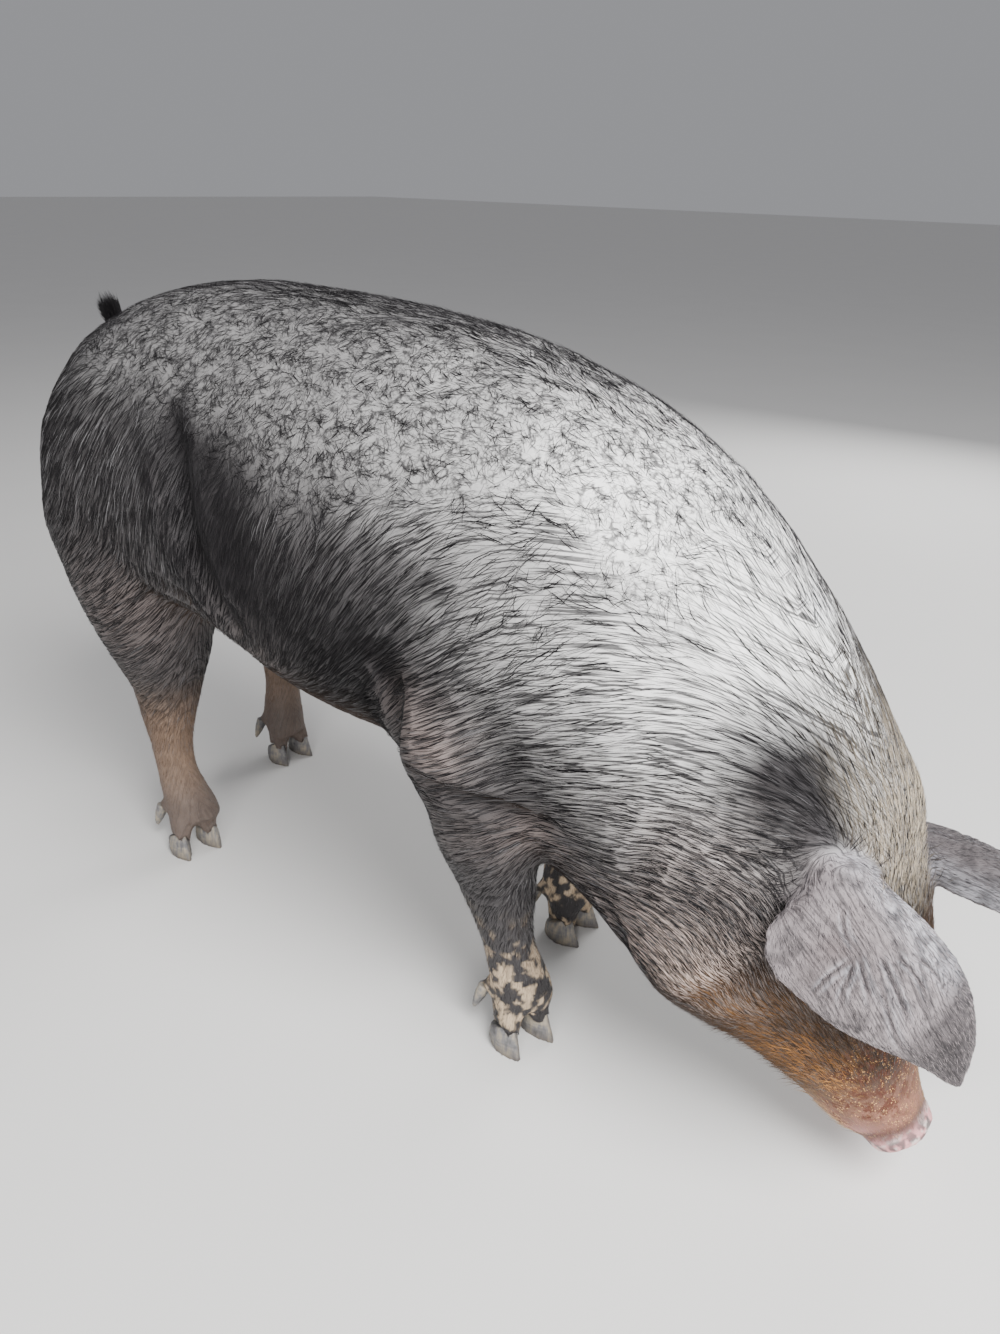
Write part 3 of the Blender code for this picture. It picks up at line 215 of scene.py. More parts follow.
# Skin and bristle colours, linear
SLATE = (0.066, 0.061, 0.062)
# Painted sheen: the pale silver that the light from above lays on the top of the back and neck
SHEEN_SILVER = (0.97, 0.958, 0.94)
DARK_SLATE = (0.02, 0.018, 0.019)
PINK_GREY = (0.33, 0.255, 0.23)
TAN = (0.27, 0.18, 0.125)
PASTERN_TAN = (0.52, 0.4, 0.27)
GINGER = (0.2, 0.108, 0.055)
CHEEK_BROWN = (0.062, 0.045, 0.036)
MUZZLE_BROWN = (0.3, 0.14, 0.095)
CROWN_TAN = (0.66, 0.6, 0.52)
# Pink skin of the jowl, made paler as painted light where the underside gets little lamp light
JOWL_PINK = (0.88, 0.69, 0.59)
# Painted shade of the lower lip under the mouth
LIP_SHADOW = (0.045, 0.03, 0.03)
EAR_SLATE = (0.275, 0.24, 0.245)
EAR_DUSK = (0.13, 0.105, 0.105)
EAR_PALE = (0.5, 0.5, 0.545)
EAR_DARK = (0.045, 0.042, 0.046)
DISC_PINK = (0.66, 0.33, 0.33)
DISC_RIM = (0.62, 0.6, 0.56)
BLACK_HAIR = (0.012, 0.011, 0.012)
GREY_HAIR = (0.16, 0.155, 0.158)
PALE_HAIR = (0.56, 0.47, 0.35)
GINGER_HAIR = (0.5, 0.24, 0.08)
CHIN_HAIR = (0.42, 0.28, 0.16)
BROWN_HAIR = (0.08, 0.05, 0.032)
SCAB = (0.105, 0.036, 0.023)
GOLDEN_CRUMB = (0.9, 0.52, 0.21)
HOOF_DIRT = (0.075, 0.058, 0.044)

# Pupil, iris and white from the middle of the eye outwards, and the tones of the horn
EYE_RINGS = ((0.0, (0.003, 0.003, 0.003)), (0.3, (0.004, 0.003, 0.003)),
             (0.36, (0.06, 0.028, 0.014)), (0.6, (0.095, 0.045, 0.02)),
             (0.68, (0.02, 0.012, 0.01)), (0.8, (0.32, 0.24, 0.21)))
HORN_TONES = ((0.3, (0.05, 0.048, 0.05)), (0.46, (0.15, 0.145, 0.145)),
              (0.6, (0.3, 0.26, 0.2)), (0.8, (0.44, 0.39, 0.3)))

# Fine hairs drawn in the skin: how many across and along a metre, and their share
FINE_HAIRS = ((450.0, 15.0, 0.56), (950.0, 30.0, 0.44))
FLOW_ROUNDS = 260
BUMP_HEIGHT = 0.0008

# Faces of a sole that fold up when it is flattened are shorter than this
FLATTENED = 0.00005
HOOF_VOXEL = 0.0016
HOOF_RINGS, HOOF_CHIPS, HOOF_DEPTH = 0.00028, 0.0004, 0.0003

# Soft round marks of the coat: strength, place (y off the middle), reach, and squash if any
MARKS = {
    "ginger": ((0.66, 0.585, 0.124, 0.228, 0.022), (0.85, 0.643, 0.095, 0.178, 0.03),
               (1.15, 0.672, 0.08, 0.165, 0.03), (1.1, 0.696, 0.064, 0.148, 0.028),
               (0.3, 0.64, 0.11, 0.235, 0.04)),
    "flank": ((0.95, -0.085, 0.2, 0.67, 0.042), (1.0, -0.03, 0.21, 0.635, 0.055),
              (0.95, 0.02, 0.21, 0.6, 0.055), (0.95, -0.01, 0.21, 0.55, 0.06),
              (0.68, 0.095, 0.21, 0.53, 0.075, (1.4, 1.0, 0.9)),
              (1.05, 0.195, 0.2, 0.47, 0.07, (1.2, 1.0, 0.9)),
              (0.75, 0.235, 0.21, 0.5, 0.04)),
    # Painted sheen over the crest and sides of the neck
    "neck sheen": ((0.52, 0.53, 0.14, 0.43, 0.1), (0.34, 0.41, 0.18, 0.56, 0.11),
                    (0.4, 0.5, 0.15, 0.53, 0.07)),
    # Dark marks: the real dark patch on the neck, painted shade between elbow and breast, and
    # brown-black skin below the ear deepened as painted shade
    "dark": ((0.7, 0.35, 0.18, 0.375, 0.04, (1.4, 1.0, 0.6)),
             (1.35, 0.618, 0.1, 0.465, 0.078, (1.0, 1.0, 0.9)),
             (0.6, 0.615, 0.13, 0.315, 0.03), (0.6, 0.65, 0.1, 0.4, 0.034)),
    "pink": ((1.2, 0.52, 0.13, 0.25, 0.075), (0.65, 0.58, 0.14, 0.36, 0.05),
             (0.3, 0.52, 0.15, 0.4, 0.06), (0.6, 0.295, 0.2, 0.445, 0.045),
             (0.26, -0.27, 0.18, 0.41, 0.09), (0.2, -0.19, 0.18, 0.44, 0.06),
             (0.5, 0.38, 0.14, 0.34, 0.04), (0.2, 0.02, 0.16, 0.42, 0.07),
             (0.2, 0.3, 0.15, 0.32, 0.05)),
    "crust": ((1.0, 0.71, 0.056, 0.18, 0.036), (1.1, 0.722, 0.044, 0.142, 0.038),
              (1.0, 0.712, 0.05, 0.11, 0.034), (0.6, 0.7, 0.05, 0.08, 0.022),
              (0.5, 0.735, 0.0, 0.15, 0.04)),
    "jowl": ((1.15, 0.55, 0.13, 0.25, 0.056),),
    "lips": ((1.0, 0.715, 0.036, 0.078, 0.02),),
    "chin": ((1.0, 0.69, 0.035, 0.075, 0.04),),
    "chin hairs": ((1.0, 0.695, 0.03, 0.07, 0.034),),
    "jaw": ((1.0, 0.6, 0.085, 0.175, 0.04), (1.0, 0.66, 0.055, 0.118, 0.04)),
    "wrinkles": ((1.0, 0.605, 0.13, 0.4, 0.045), (1.0, 0.625, 0.125, 0.3, 0.04)),
    "curled shoulder": ((0.5, 0.4, 0.16, 0.62, 0.07),),
    "elbow": ((1.0, 0.295, 0.2, 0.445, 0.05),),
    "thin on neck": ((0.55, 0.55, 0.08, 0.6, 0.13),),
    "thin on jowl": ((1.0, 0.55, 0.13, 0.25, 0.058),),
}

# Camera and light
CAMERA_PLACE = (0.88, -0.85, 0.93)
CAMERA_RIGHT = (0.7811, 0.62399, 0.02274)
CAMERA_UP = (-0.28428, 0.32295, 0.90271)
CAMERA_LENS, CAMERA_SENSOR = 28.04, 36.0
SKY_COLOUR, SKY_STRENGTH = (0.94, 0.95, 1.0, 1.0), 0.34
FLOOR_SIZE, FLOOR_DROP = 60.0, 0.0004

# Lamps: name, place, the point that it faces, size and power
LAMPS = (("sky_panel", (1.9, -0.7, 2.4), (0.3, 0.0, 0.45), 1.9, 190.0),
         ("side_panel", (1.3, -2.4, 1.0), (0.45, 0.0, 0.3), 1.6, 52.0),
         ("far_panel", (-0.2, 3.0, 1.6), (0.0, 0.0, 0.4), 2.0, 55.0))


class Wire:
    """A socket of a node tree. Arithmetic on it adds Math nodes."""

    def __init__(self, graph, socket):
        self.graph, self.socket = graph, socket

    def math(self, operation, *others):
        sockets = dict(enumerate((self,) + others))
        return self.graph.node("ShaderNodeMath", {"operation": operation}, sockets)

    def __add__(self, other):
        return self.math("ADD", other)

    def __sub__(self, other):
        return self.math("SUBTRACT", other)

    def __mul__(self, other):
        return self.math("MULTIPLY", other)

    def __rsub__(self, other):
        return self.graph.node("ShaderNodeMath", {"operation": "SUBTRACT"}, {0: other, 1: self})

    __radd__ = __add__
    __rmul__ = __mul__

    def clamped(self):
        return self.math("MAXIMUM", 0.0).math("MINIMUM", 1.0)


class Graph:
    """A node tree that is filled one node at a time."""

    def __init__(self, tree):
        self.tree = tree

    def node(self, kind, settings=None, sockets=None, output=None):
        """Adds a node with its settings and sockets, and returns one of its outputs."""
        made = self.tree.nodes.new(kind)
        for name, value in (settings or {}).items():
            if name == "stops":
                set_stops(made.color_ramp, value)
            else:
                setattr(made, name, value)
        for key, value in (sockets or {}).items():
            socket = self.find(made.inputs, key)
            if isinstance(value, Wire):
                self.tree.links.new(value.socket, socket)
            else:
                socket.default_value = value
        if not made.outputs:
            return made
        if output is None:
            return Wire(self, next(socket for socket in made.outputs if socket.enabled))
        return Wire(self, self.find(made.outputs, output))

    @staticmethod
    def find(sockets, key):
        if isinstance(key, int):
            return sockets[key]
        for socket in sockets:
            if socket.identifier == key and socket.enabled:
                return socket
        return next(socket for socket in sockets if socket.name == key and socket.enabled)

    def mix(self, factor, first, second, blend="MIX"):
        """Mixes two colours."""
        return self.node("ShaderNodeMix", {"data_type": "RGBA", "blend_type": blend},
                         {"Factor_Float": factor, "A_Color": first, "B_Color": second},
                         "Result_Color")

    def noise(self, place, scale, detail=2.0, roughness=0.5, output="Fac"):
        return self.node("ShaderNodeTexNoise", None,
                         {"Vector": place, "Scale": scale, "Detail": detail,
                          "Roughness": roughness}, output)

    def cells(self, place, scale, feature):
        """Distance from the middle (F1) or the edge of the cell that a place is in."""
        return self.node("ShaderNodeTexVoronoi", {"feature": feature},
                         {"Vector": place, "Scale": scale}, "Distance")

    def attribute(self, name, output="Fac"):
        return self.node("ShaderNodeAttribute", {"attribute_name": name}, output=output)

    def combined(self, *parts, kind="XYZ"):
        return self.node("ShaderNodeCombine" + kind, None, dict(enumerate(parts)))

    def vector(self, operation, first, second):
        """Vector arithmetic. To SCALE, the second value is a number."""
        return self.node("ShaderNodeVectorMath", {"operation": operation},
                         {0: first, "Scale" if operation == "SCALE" else 1: second})

    def colours(self, factor, *stops):
        """The colour at a factor between the stops given."""
        return self.node("ShaderNodeValToRGB", {"stops": stops}, {"Fac": factor}, "Color")

    def bump(self, height, strength):
        return self.node("ShaderNodeBump", None,
                         {"Height": height, "Distance": BUMP_HEIGHT, "Strength": strength})


class Links:
    """The edges of a mesh, for means over each vertex's neighbours."""

    def __init__(self, target):
        edges = np.empty(len(target.data.edges) * 2, dtype=np.int32)
        target.data.edges.foreach_get("vertices", edges)
        edges = edges.reshape(-1, 2)
        self.ends = np.concatenate((edges[:, 0], edges[:, 1]))
        self.others = np.concatenate((edges[:, 1], edges[:, 0]))
        self.count = len(target.data.vertices)
        self.valence = np.maximum(np.bincount(self.ends, minlength=self.count), 1)[:, None]

    def mean(self, values):
        return columns(*(np.bincount(self.ends, column[self.others], self.count)
                         for column in values.T)) / self.valence


def set_stops(ramp, stops):
    while len(ramp.elements) < len(stops):
        ramp.elements.new(0.5)
    for element, (place, colour) in zip(ramp.elements, stops):
        element.position, element.color = place, (*colour, 1.0)


def held(value):
    """Keeps values from 0 to 1."""
    return np.clip(value, 0.0, 1.0)


def ease(value, low, high):
    """Rises smoothly from 0 to 1 between two values."""
    t = held((value - low) / (high - low))
    return t * t * (3.0 - 2.0 * t)


def wane(value, low, high):
    """Falls smoothly from 1 to 0 between two values."""
    return 1.0 - ease(value, low, high)


def unit(vectors):
    return vectors / np.maximum(norm(vectors, axis=-1, keepdims=True), 1e-9)


def columns(*parts):
    """Stacks values for each point, or one value for all, side by side."""
    return np.stack(np.broadcast_arrays(*parts), axis=1)


def dotted(first, second):
    """The part of each vector that lies along another, as a column."""
    return np.sum(first * second, axis=1)[:, None]


def along_knots(knots, x):
    """A height that changes along x as a line of knots says."""
    return np.interp(x, [knot[0] for knot in knots], [knot[1] for knot in knots])


def hashed(cells, seed):
    """A repeatable number from 0 to 1 for each cell of a grid."""
    x, y, z = (cells[:, axis].astype(np.int64) for axis in range(3))
    mixed = x * 374761393 + y * 668265263 + z * 1440662683 + seed * 144665447
    mixed = (mixed ^ (mixed >> 13)) * 1274126177
    mixed = mixed ^ (mixed >> 16)
    return (mixed & 0xFFFFFF) / float(0xFFFFFF)


def noise(places, scale, seed=0):
    """Smooth noise from -1 to 1 whose bumps are 1 / scale across."""
    spread = places * scale
    cells = np.floor(spread)
    t = spread - cells
    t = t * t * (3.0 - 2.0 * t)
    total = np.zeros(len(places))
    for corner in range(8):
        step = np.array([(corner >> axis) & 1 for axis in range(3)])
        weight = np.prod(np.where(step == 1, t, 1.0 - t), axis=1)
        total += weight * hashed(cells + step, seed)
    return total * 2.0 - 1.0


def coordinates(target):
    places = np.empty(len(target.data.vertices) * 3)
    target.data.vertices.foreach_get("co", places)
    return places.reshape(-1, 3)


def set_coordinates(target, places):
    target.data.vertices.foreach_set("co", np.ascontiguousarray(places).ravel())
    target.data.update()


def normals(target):
    values = np.empty(len(target.data.vertices) * 3)
    target.data.vertex_normals.foreach_get("vector", values)
    return values.reshape(-1, 3)


def corners_of(target):
    """The three vertices of each triangle."""
    target.data.calc_loop_triangles()
    corners = np.empty(len(target.data.loop_triangles) * 3, dtype=np.int32)
    target.data.loop_triangles.foreach_get("vertices", corners)
    return corners.reshape(-1, 3)


def placed(name, data):
    """An object in the scene with the mesh, lamp or camera given."""
    made = bpy.data.objects.new(name, data)
    bpy.context.collection.objects.link(made)
    return made


def mesh_from(shape, name):
    """The shape of a bmesh, which is freed, as a mesh."""
    mesh = bpy.data.meshes.new(name)
    shape.to_mesh(mesh)
    shape.free()
    return mesh


def merged_copy(nodes, name, growth=0.0):
    """One object with welded copies of some nodes, each grown a little along its normals."""
    shape = bmesh.new()
    for node in nodes:
        piece = bmesh.new()
        piece.from_mesh(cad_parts[node].data)
        bmesh.ops.remove_doubles(piece, verts=piece.verts, dist=0.00001)
        piece.normal_update()
        for vertex in piece.verts:
            vertex.co += vertex.normal * growth
        shape.from_mesh(mesh_from(piece, node))
    return placed(name, mesh_from(shape, name))


def baked(target):
    """Applies every modifier of an object."""
    bpy.context.view_layer.update()
    graph = bpy.context.evaluated_depsgraph_get()
    mesh = bpy.data.meshes.new_from_object(target.evaluated_get(graph))
    target.modifiers.clear()
    target.data = mesh
    return target


def remeshed(target, voxel):
    remesh = target.modifiers.new("Remesh", "REMESH")
    remesh.mode = "VOXEL"
    remesh.voxel_size = voxel
    return baked(target)


def relax(target, rounds, weights, give_back=0.0):
    """Moves each vertex towards its neighbours' mean, then back out to keep the volume."""
    links = Links(target)
    places = coordinates(target)
    weights = weights[:, None]
    for _ in range(rounds):
        places += (links.mean(places) - places) * weights
        if give_back:
            places -= (links.mean(places) - places) * weights * give_back
    set_coordinates(target, places)


def labelled(places):
    """The number in FLESH of the node nearest to each point."""
    points, faces, owner = [], [], []
    for number, node in enumerate(FLESH):
        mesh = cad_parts[node].data
        start = len(points)
        points.extend(vertex.co for vertex in mesh.vertices)
        faces.extend([start + index for index in face.vertices] for face in mesh.polygons)
        owner.extend([number] * len(mesh.polygons))
    tree = BVHTree.FromPolygons(points, faces)
    return np.array([owner[tree.find_nearest(place)[2]] for place in places])


def kind_shares(skin, labels, body_rounds):
    """How far each vertex belongs to each kind of form, blended over their borders."""
    names = np.array(FLESH)[labels]
    masks = {key: names == key for key in KINDS}
    masks["leg"] = np.isin(names, LEGS)
    masks["ear"] = np.isin(names, tuple(EARS.values()))
    links = Links(skin)
    near = np.stack([masks[key] for key in KINDS], axis=1).astype(float)
    for _ in range(SMALL_BLEND):
        near = links.mean(near)
    far = near.copy()
    for _ in range(body_rounds):
        far = links.mean(far)
    small = [KINDS.index(key) for key in SMALL_KINDS]
    large = [KINDS.index(key) for key in KINDS if key not in SMALL_KINDS]
    rest = held(1.0 - near[:, small].sum(axis=1))
    shares = near.copy()
    total = np.maximum(far[:, large].sum(axis=1), 1e-6)
    shares[:, large] = far[:, large] / total[:, None] * rest[:, None]
    return shares


def by_kind(shares):
    """The shares as a named mask for each kind of form."""
    kinds = SimpleNamespace(**{key: shares[:, number] for number, key in enumerate(KINDS)})
    kinds.trunk = kinds.torso + kinds.neck
    return kinds


def weighed(shares, values):
    """The mean of a value for each kind of form, by the shares."""
    return shares @ np.array([values[key] for key in KINDS])


def routed(route, count=60):
    """Points spread evenly along a smooth curve through the given ones."""
    knots = np.array(route, dtype=float)
    steps = norm(np.diff(knots, axis=0), axis=1)
    marks = np.concatenate(([0.0], np.cumsum(steps)))
    wanted = np.linspace(0.0, marks[-1], count)
    slopes = np.gradient(knots, marks, axis=0)
    span = np.clip(np.searchsorted(marks, wanted, side="right") - 1, 0, len(steps) - 1)
    t = ((wanted - marks[span]) / steps[span])[:, None]
    reach = steps[span][:, None]
    return ((2 * t**3 - 3 * t**2 + 1) * knots[span] + (t**3 - 2 * t**2 + t) * reach * slopes[span]
            + (3 * t**2 - 2 * t**3) * knots[span + 1] + (t**3 - t**2) * reach * slopes[span + 1])


def groove(places, route, depth, width, lip):
    """How far each point sinks for a fold along a route."""
    line = routed(route)
    low, high = line.min(axis=0) - width * 5.0, line.max(axis=0) + width * 5.0
    near = np.all((places > low) & (places < high), axis=1)
    sunk = np.zeros(len(places))
    if not near.any():
        return sunk
    gaps = norm(places[near][:, None, :] - line[None, :, :], axis=2)
    along = gaps.argmin(axis=1) / (len(line) - 1)
    away = gaps.min(axis=1)
    fade = ease(along, 0.0, 0.3) * ease(1.0 - along, 0.0, 0.3)
    valley = np.exp(-(away / width) ** 2)
    lips = np.exp(-((away - 2.1 * width) / (1.1 * width)) ** 2)
    sunk[near] = (valley - lip * lips) * depth * fade
    return sunk


def ear_frame(side):
    """Root, lengthwise, across and outward directions of one ear."""
    lengthwise = Vector(EAR_LENGTHWISE[side]).normalized()
    outward = Vector(EAR_OUTWARD[side]).normalized()
    outward = (outward - lengthwise * outward.dot(lengthwise)).normalized()
    across = outward.cross(lengthwise) * -side
    return (np.array(EAR_ROOT[side]) + ORIGIN, np.array(lengthwise), np.array(across),
            np.array(outward))


def on_ear(places, side):
    """Distance of each point from the root of one ear, along it, across it and out from it."""
    root, *directions = ear_frame(side)
    return [(places - root) @ direction for direction in directions]


def ear_lines(u, v, depth, width, lip):
    """Depth of the creases that fan over an ear, at places on its flat layout."""
    flat = columns(u, v, 0.0)
    return sum(groove(flat, [(*knot, 0.0) for knot in route], depth, width, lip)
               for route in EAR_CREASES)


def crease_ears(places, facing, kinds):
    """Depth of the creases and veins over the outer face of each ear."""
    sunk = np.zeros(len(places))
    for side in SIDES:
        mine = ((kinds.ear > 0.5) & (places[:, 1] * side > 0.0)
                & (facing @ ear_frame(side)[3] > 0.1))
        u, v, _ = on_ear(places[mine], side)
        sunk[mine] += ear_lines(u, v, EAR_CREASE_DEPTH, EAR_CREASE_WIDTH, EAR_CREASE_LIP)
        veins = np.sin(np.arctan2(v, u + 0.06) * EAR_VEINS
                       + noise(columns(u, v, 0.0) + 3.0, 40.0, 8) * 2.0)
        sunk[mine] += veins * EAR_VEIN_DEPTH * ease(u, 0.0, 0.05)
    return sunk


def eye_frame(side):
    """Middle, radius, and the outward, upward and lengthwise directions of one eye."""
    low, high = (np.array(corner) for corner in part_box(EYES[side]))
    outward = unit(np.array(EYE_FACING) * (1.0, side, 1.0))
    upward = np.array(EYE_UPWARD)
    upward = unit(upward - outward * (upward @ outward))
    return (low + high) / 2.0, (high - low).max() / 2.0, outward, upward, np.cross(outward, upward)


def on_lids(places, side):
    """The place of each point round one eye, in radii: along the opening, up, and distance."""
    centre, radius, _, upward, lengthwise = eye_frame(side)
    spread = (places - centre) / radius
    return spread @ lengthwise, spread @ upward, norm(spread, axis=1)


def crease_lids(places, facing):
    """Depth of the creases above and below each eye."""
    sunk = np.zeros(len(places))
    for side in SIDES:
        _, radius, outward, _, _ = eye_frame(side)
        along, up, away = on_lids(places, side)
        mine = (away < LID_REACH) & (facing @ outward > 0.0)
        flat = columns(along[mine], up[mine], 0.0)
        for height, reach, depth, width in LID_CREASES:
            line = [(reach * share, height * math.sqrt(1.0 - 0.85 * share * share), 0.0)
                    for share in np.linspace(-1.0, 1.0, 9)]
            sunk[mine] += groove(flat, line, depth, width, LID_CREASE_LIP) * radius
    return sunk


def mouth_route(skin):
    """The line of the mouth on the skin, from one corner round the front to the other."""
    tree = BVHTree.FromObject(skin, bpy.context.evaluated_depsgraph_get())
    route = []
    for step in np.linspace(-1.0, 1.0, MOUTH_STEPS):
        share, side = abs(step), (RIGHT if step < 0.0 else LEFT)
        bend = share ** 1.5
        x = MOUTH_FRONT[0] + (MOUTH_CORNER[0] - MOUTH_FRONT[0]) * bend
        z = MOUTH_FRONT[1] + (MOUTH_CORNER[1] - MOUTH_FRONT[1]) * bend
        z -= MOUTH_SAG * math.sin(math.pi * share)
        tilt = math.pi * 0.5 * float(ease(share, 0.0, 0.5))
        ahead = Vector(MOUTH_FACING) * math.cos(tilt)
        way = (ahead + Vector((0.0, side * math.sin(tilt), 0.0))).normalized()
        centre = Vector((x, 0.0, z)) + Vector(ORIGIN) - ahead * 0.03
        spot = tree.ray_cast(centre + way * 0.3, -way)[0]
        if spot is not None:
            route.append(tuple(np.array(spot) - ORIGIN))
    return route


def sculpted(skin, shares):
    """Sinks the folds, creases and wrinkles of the skin."""
    places, facing = coordinates(skin), normals(skin)
    kinds = by_kind(shares)
    pig = places - ORIGIN
    body = 1.0 - kinds.ear - kinds.tail
    sunk = np.zeros(len(places))
    for side in SIDES:
        mine = (body > 0.3) & (places[:, 1] * side > -0.01)
        for depth, width, lip, route in FOLDS:
            path = [(x, y * side, z) for x, y, z in route]
            sunk[mine] += groove(pig[mine], path, depth, width, lip)
    face = (kinds.head + kinds.snout_disc > 0.5) & (kinds.ear < 0.3)
    for width, half, creases in FACE_CREASES:
        across = [(x, -y, z) for x, y, z in half[:0:-1]] + list(half)
        for x, z, depth in creases:
            path = np.array(across) + (x, 0.0, z)
            sunk[face] += groove(pig[face], path, depth, width, FACE_LIP)
    sunk[face] += groove(pig[face], mouth_route(skin), MOUTH_DEPTH, MOUTH_WIDTH, MOUTH_LIP)
    sunk += crease_ears(places, facing, kinds) + crease_lids(places, facing)
    coarse, fine = (sum(noise(places, scale, seed) * depth for scale, seed, depth in bumps)
                    for bumps in (COARSE_BUMPS, (FINE_BUMPS,)))
    flesh = 0.25 * kinds.ear + kinds.torso + kinds.neck + 0.5 * (
        kinds.head + kinds.leg + kinds.tail)
    wrinkled = np.sin(pig @ np.array((260.0, 0.0, 190.0)) + noise(pig, 30.0, 4) * 5.0)
    sunk += coarse * flesh + fine * (1.0 - 0.5 * kinds.snout_disc)
    sunk += wrinkled * marked(pig, "wrinkles") * WRINKLE_DEPTH
    set_coordinates(skin, places - facing * sunk[:, None])


def thinned(skin, shares):
    """Brings the skin under its count of triangles, finest on the head, ears and feet."""
    places = coordinates(skin)
    kinds = by_kind(shares)
    fine = kinds.head + kinds.ear + kinds.snout_disc + kinds.tail
    fine = np.maximum(fine, kinds.leg * wane(places[:, 2], 0.12, 0.3) * 0.8)
    coarse = 1.0 - 0.97 * held(fine)
    group = skin.vertex_groups.new(name="coarse")
    steps = np.round(coarse * 20.0) / 20.0
    for weight in np.unique(steps):
        group.add(np.flatnonzero(steps == weight).tolist(), float(max(weight, 0.001)), "REPLACE")
    thin = skin.modifiers.new("Decimate", "DECIMATE")
    thin.ratio = SKIN_TRIANGLES / (2.0 * len(skin.data.polygons))
    thin.use_collapse_triangulate = True
    thin.vertex_group = "coarse"
    thin.vertex_group_factor = 0.02
    baked(skin)
    skin.vertex_groups.clear()


def spine_line():
    """The points of the middle line, the steps between them, and how far along each one is."""
    line = np.array([(x, 0.0, z) for x, z in SPINE])
    steps = np.diff(line, axis=0)
    return line, steps, np.concatenate(([0.0], np.cumsum(norm(steps, axis=1))))


def spine_place(pig):
    """Share of the way from rump to snout, and the turn round the spine, of each point."""
    line, steps, marks = spine_line()
    lengths = norm(steps, axis=1)
    best = np.full(len(pig), np.inf)
    share, above = np.zeros(len(pig)), np.zeros(len(pig))
    flat = pig * np.array((1.0, 0.0, 1.0))
    for start, end, length, mark in zip(line[:-1], line[1:], lengths, marks):
        way = (end - start) / length
        up = np.array((-way[2], 0.0, way[0]))
        t = np.clip((flat - start) @ way, 0.0, length)
        gap = norm(flat - start - t[:, None] * way, axis=1)
        closer = gap < best
        best[closer] = gap[closer]
        share[closer] = (mark + t[closer]) / marks[-1]
        above[closer] = ((flat - start) @ up)[closer]
    return share, np.arctan2(pig[:, 1], above)


def unwrapped(places, labels):
    """The place of each point on a flat layout of the skin, one chart for each form."""
    pig = places - ORIGIN
    share, turn = spine_place(pig)
    layout = columns(0.02 + 0.56 * share, 0.02 + 0.95 * (turn / (2.0 * math.pi) + 0.5))
    for number, leg in enumerate(LEGS):
        mine = labels == FLESH.index(leg)
        low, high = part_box(leg)
        middle = (np.array(low) + np.array(high)) / 2.0
        angle = np.arctan2(places[mine, 1] - middle[1], places[mine, 0] - middle[0])
        layout[mine, 0] = 0.6 + 0.19 * (number % 2) + 0.17 * (angle / (2.0 * math.pi) + 0.5)
        layout[mine, 1] = 0.02 + 0.33 * (number // 2) + 0.3 * (places[mine, 2] / high[2])
    for number, side in enumerate(SIDES):
        mine = labels == FLESH.index(EARS[side])
        u, v, out = on_ear(places[mine], side)
        back = (out < 0.006) * 0.19
        layout[mine, 0] = 0.6 + back + 0.16 * held((v + 0.1) / 0.16)
        layout[mine, 1] = 0.69 + 0.15 * number + 0.13 * held((u + 0.05) / 0.26)
    mine = labels == FLESH.index("tail")
    layout[mine, 0] = 0.985 + 0.01 * np.sin(turn[mine])
    layout[mine, 1] = 0.02 + 0.9 * ease(places[mine, 2], 0.55, 0.78)
    return layout


def blob(pig, x, y, z, reach, squash=(1.0, 1.0, 1.0)):
    """A soft round mask, the same on both sides."""
    gap = (columns(pig[:, 0], np.abs(pig[:, 1]), pig[:, 2]) - (x, y, z)) / np.array(squash)
    return np.exp(-(norm(gap, axis=1) / reach) ** 2)


def blended(colours, mask, target):
    return colours + (np.array(target) - colours) * held(mask)[:, None]


def crested(pig):
    """The band along the top of the back, where the coat is long and straight."""
    side = np.abs(pig[:, 1]) + 0.012 * noise(pig, 12.0, 43)
    return (wane(side, 0.03, 0.075) * ease(pig[:, 2], 0.66, 0.72)
            * ease(pig[:, 0], -0.4, -0.15) * wane(pig[:, 0], 0.32, 0.44))


def felted(pig, kinds):
    """Where the coat of the back is short, curled and felted."""
    over = pig[:, 2] - along_knots(FELT_EDGE, pig[:, 0])
    over += 0.01 * noise(pig, 14.0, 35)
    felt = ease(over, -0.014, 0.024) * wane(pig[:, 0], 0.44, 0.55)
    felt *= ease(pig[:, 0], -0.45, -0.15) * 0.75 + 0.25
    felt *= 1.0 - 0.65 * crested(pig)
    return felt * kinds.trunk


def marked(pig, name):
    """The sum of the soft marks of one name at each point."""
    return sum(strength * blob(pig, *place) for strength, *place in MARKS[name])


def ginger_patch(pig, kinds):
    """Where the cheek's coat is ginger."""
    patch = marked(pig, "ginger") * (0.78 + 0.55 * noise(pig, 42.0, 44))
    return held(patch) * held(kinds.head + 0.6 * kinds.neck)


def flank_shade(pig):
    """Where the long coat of the flank and behind the elbow is thickest and darkest."""
    return held(marked(pig, "flank"))


def layered(colours, *layers):
    """Lays colours over one another, each with its mask."""
    for mask, colour in layers:
        colours = blended(colours, mask, colour)
    return colours


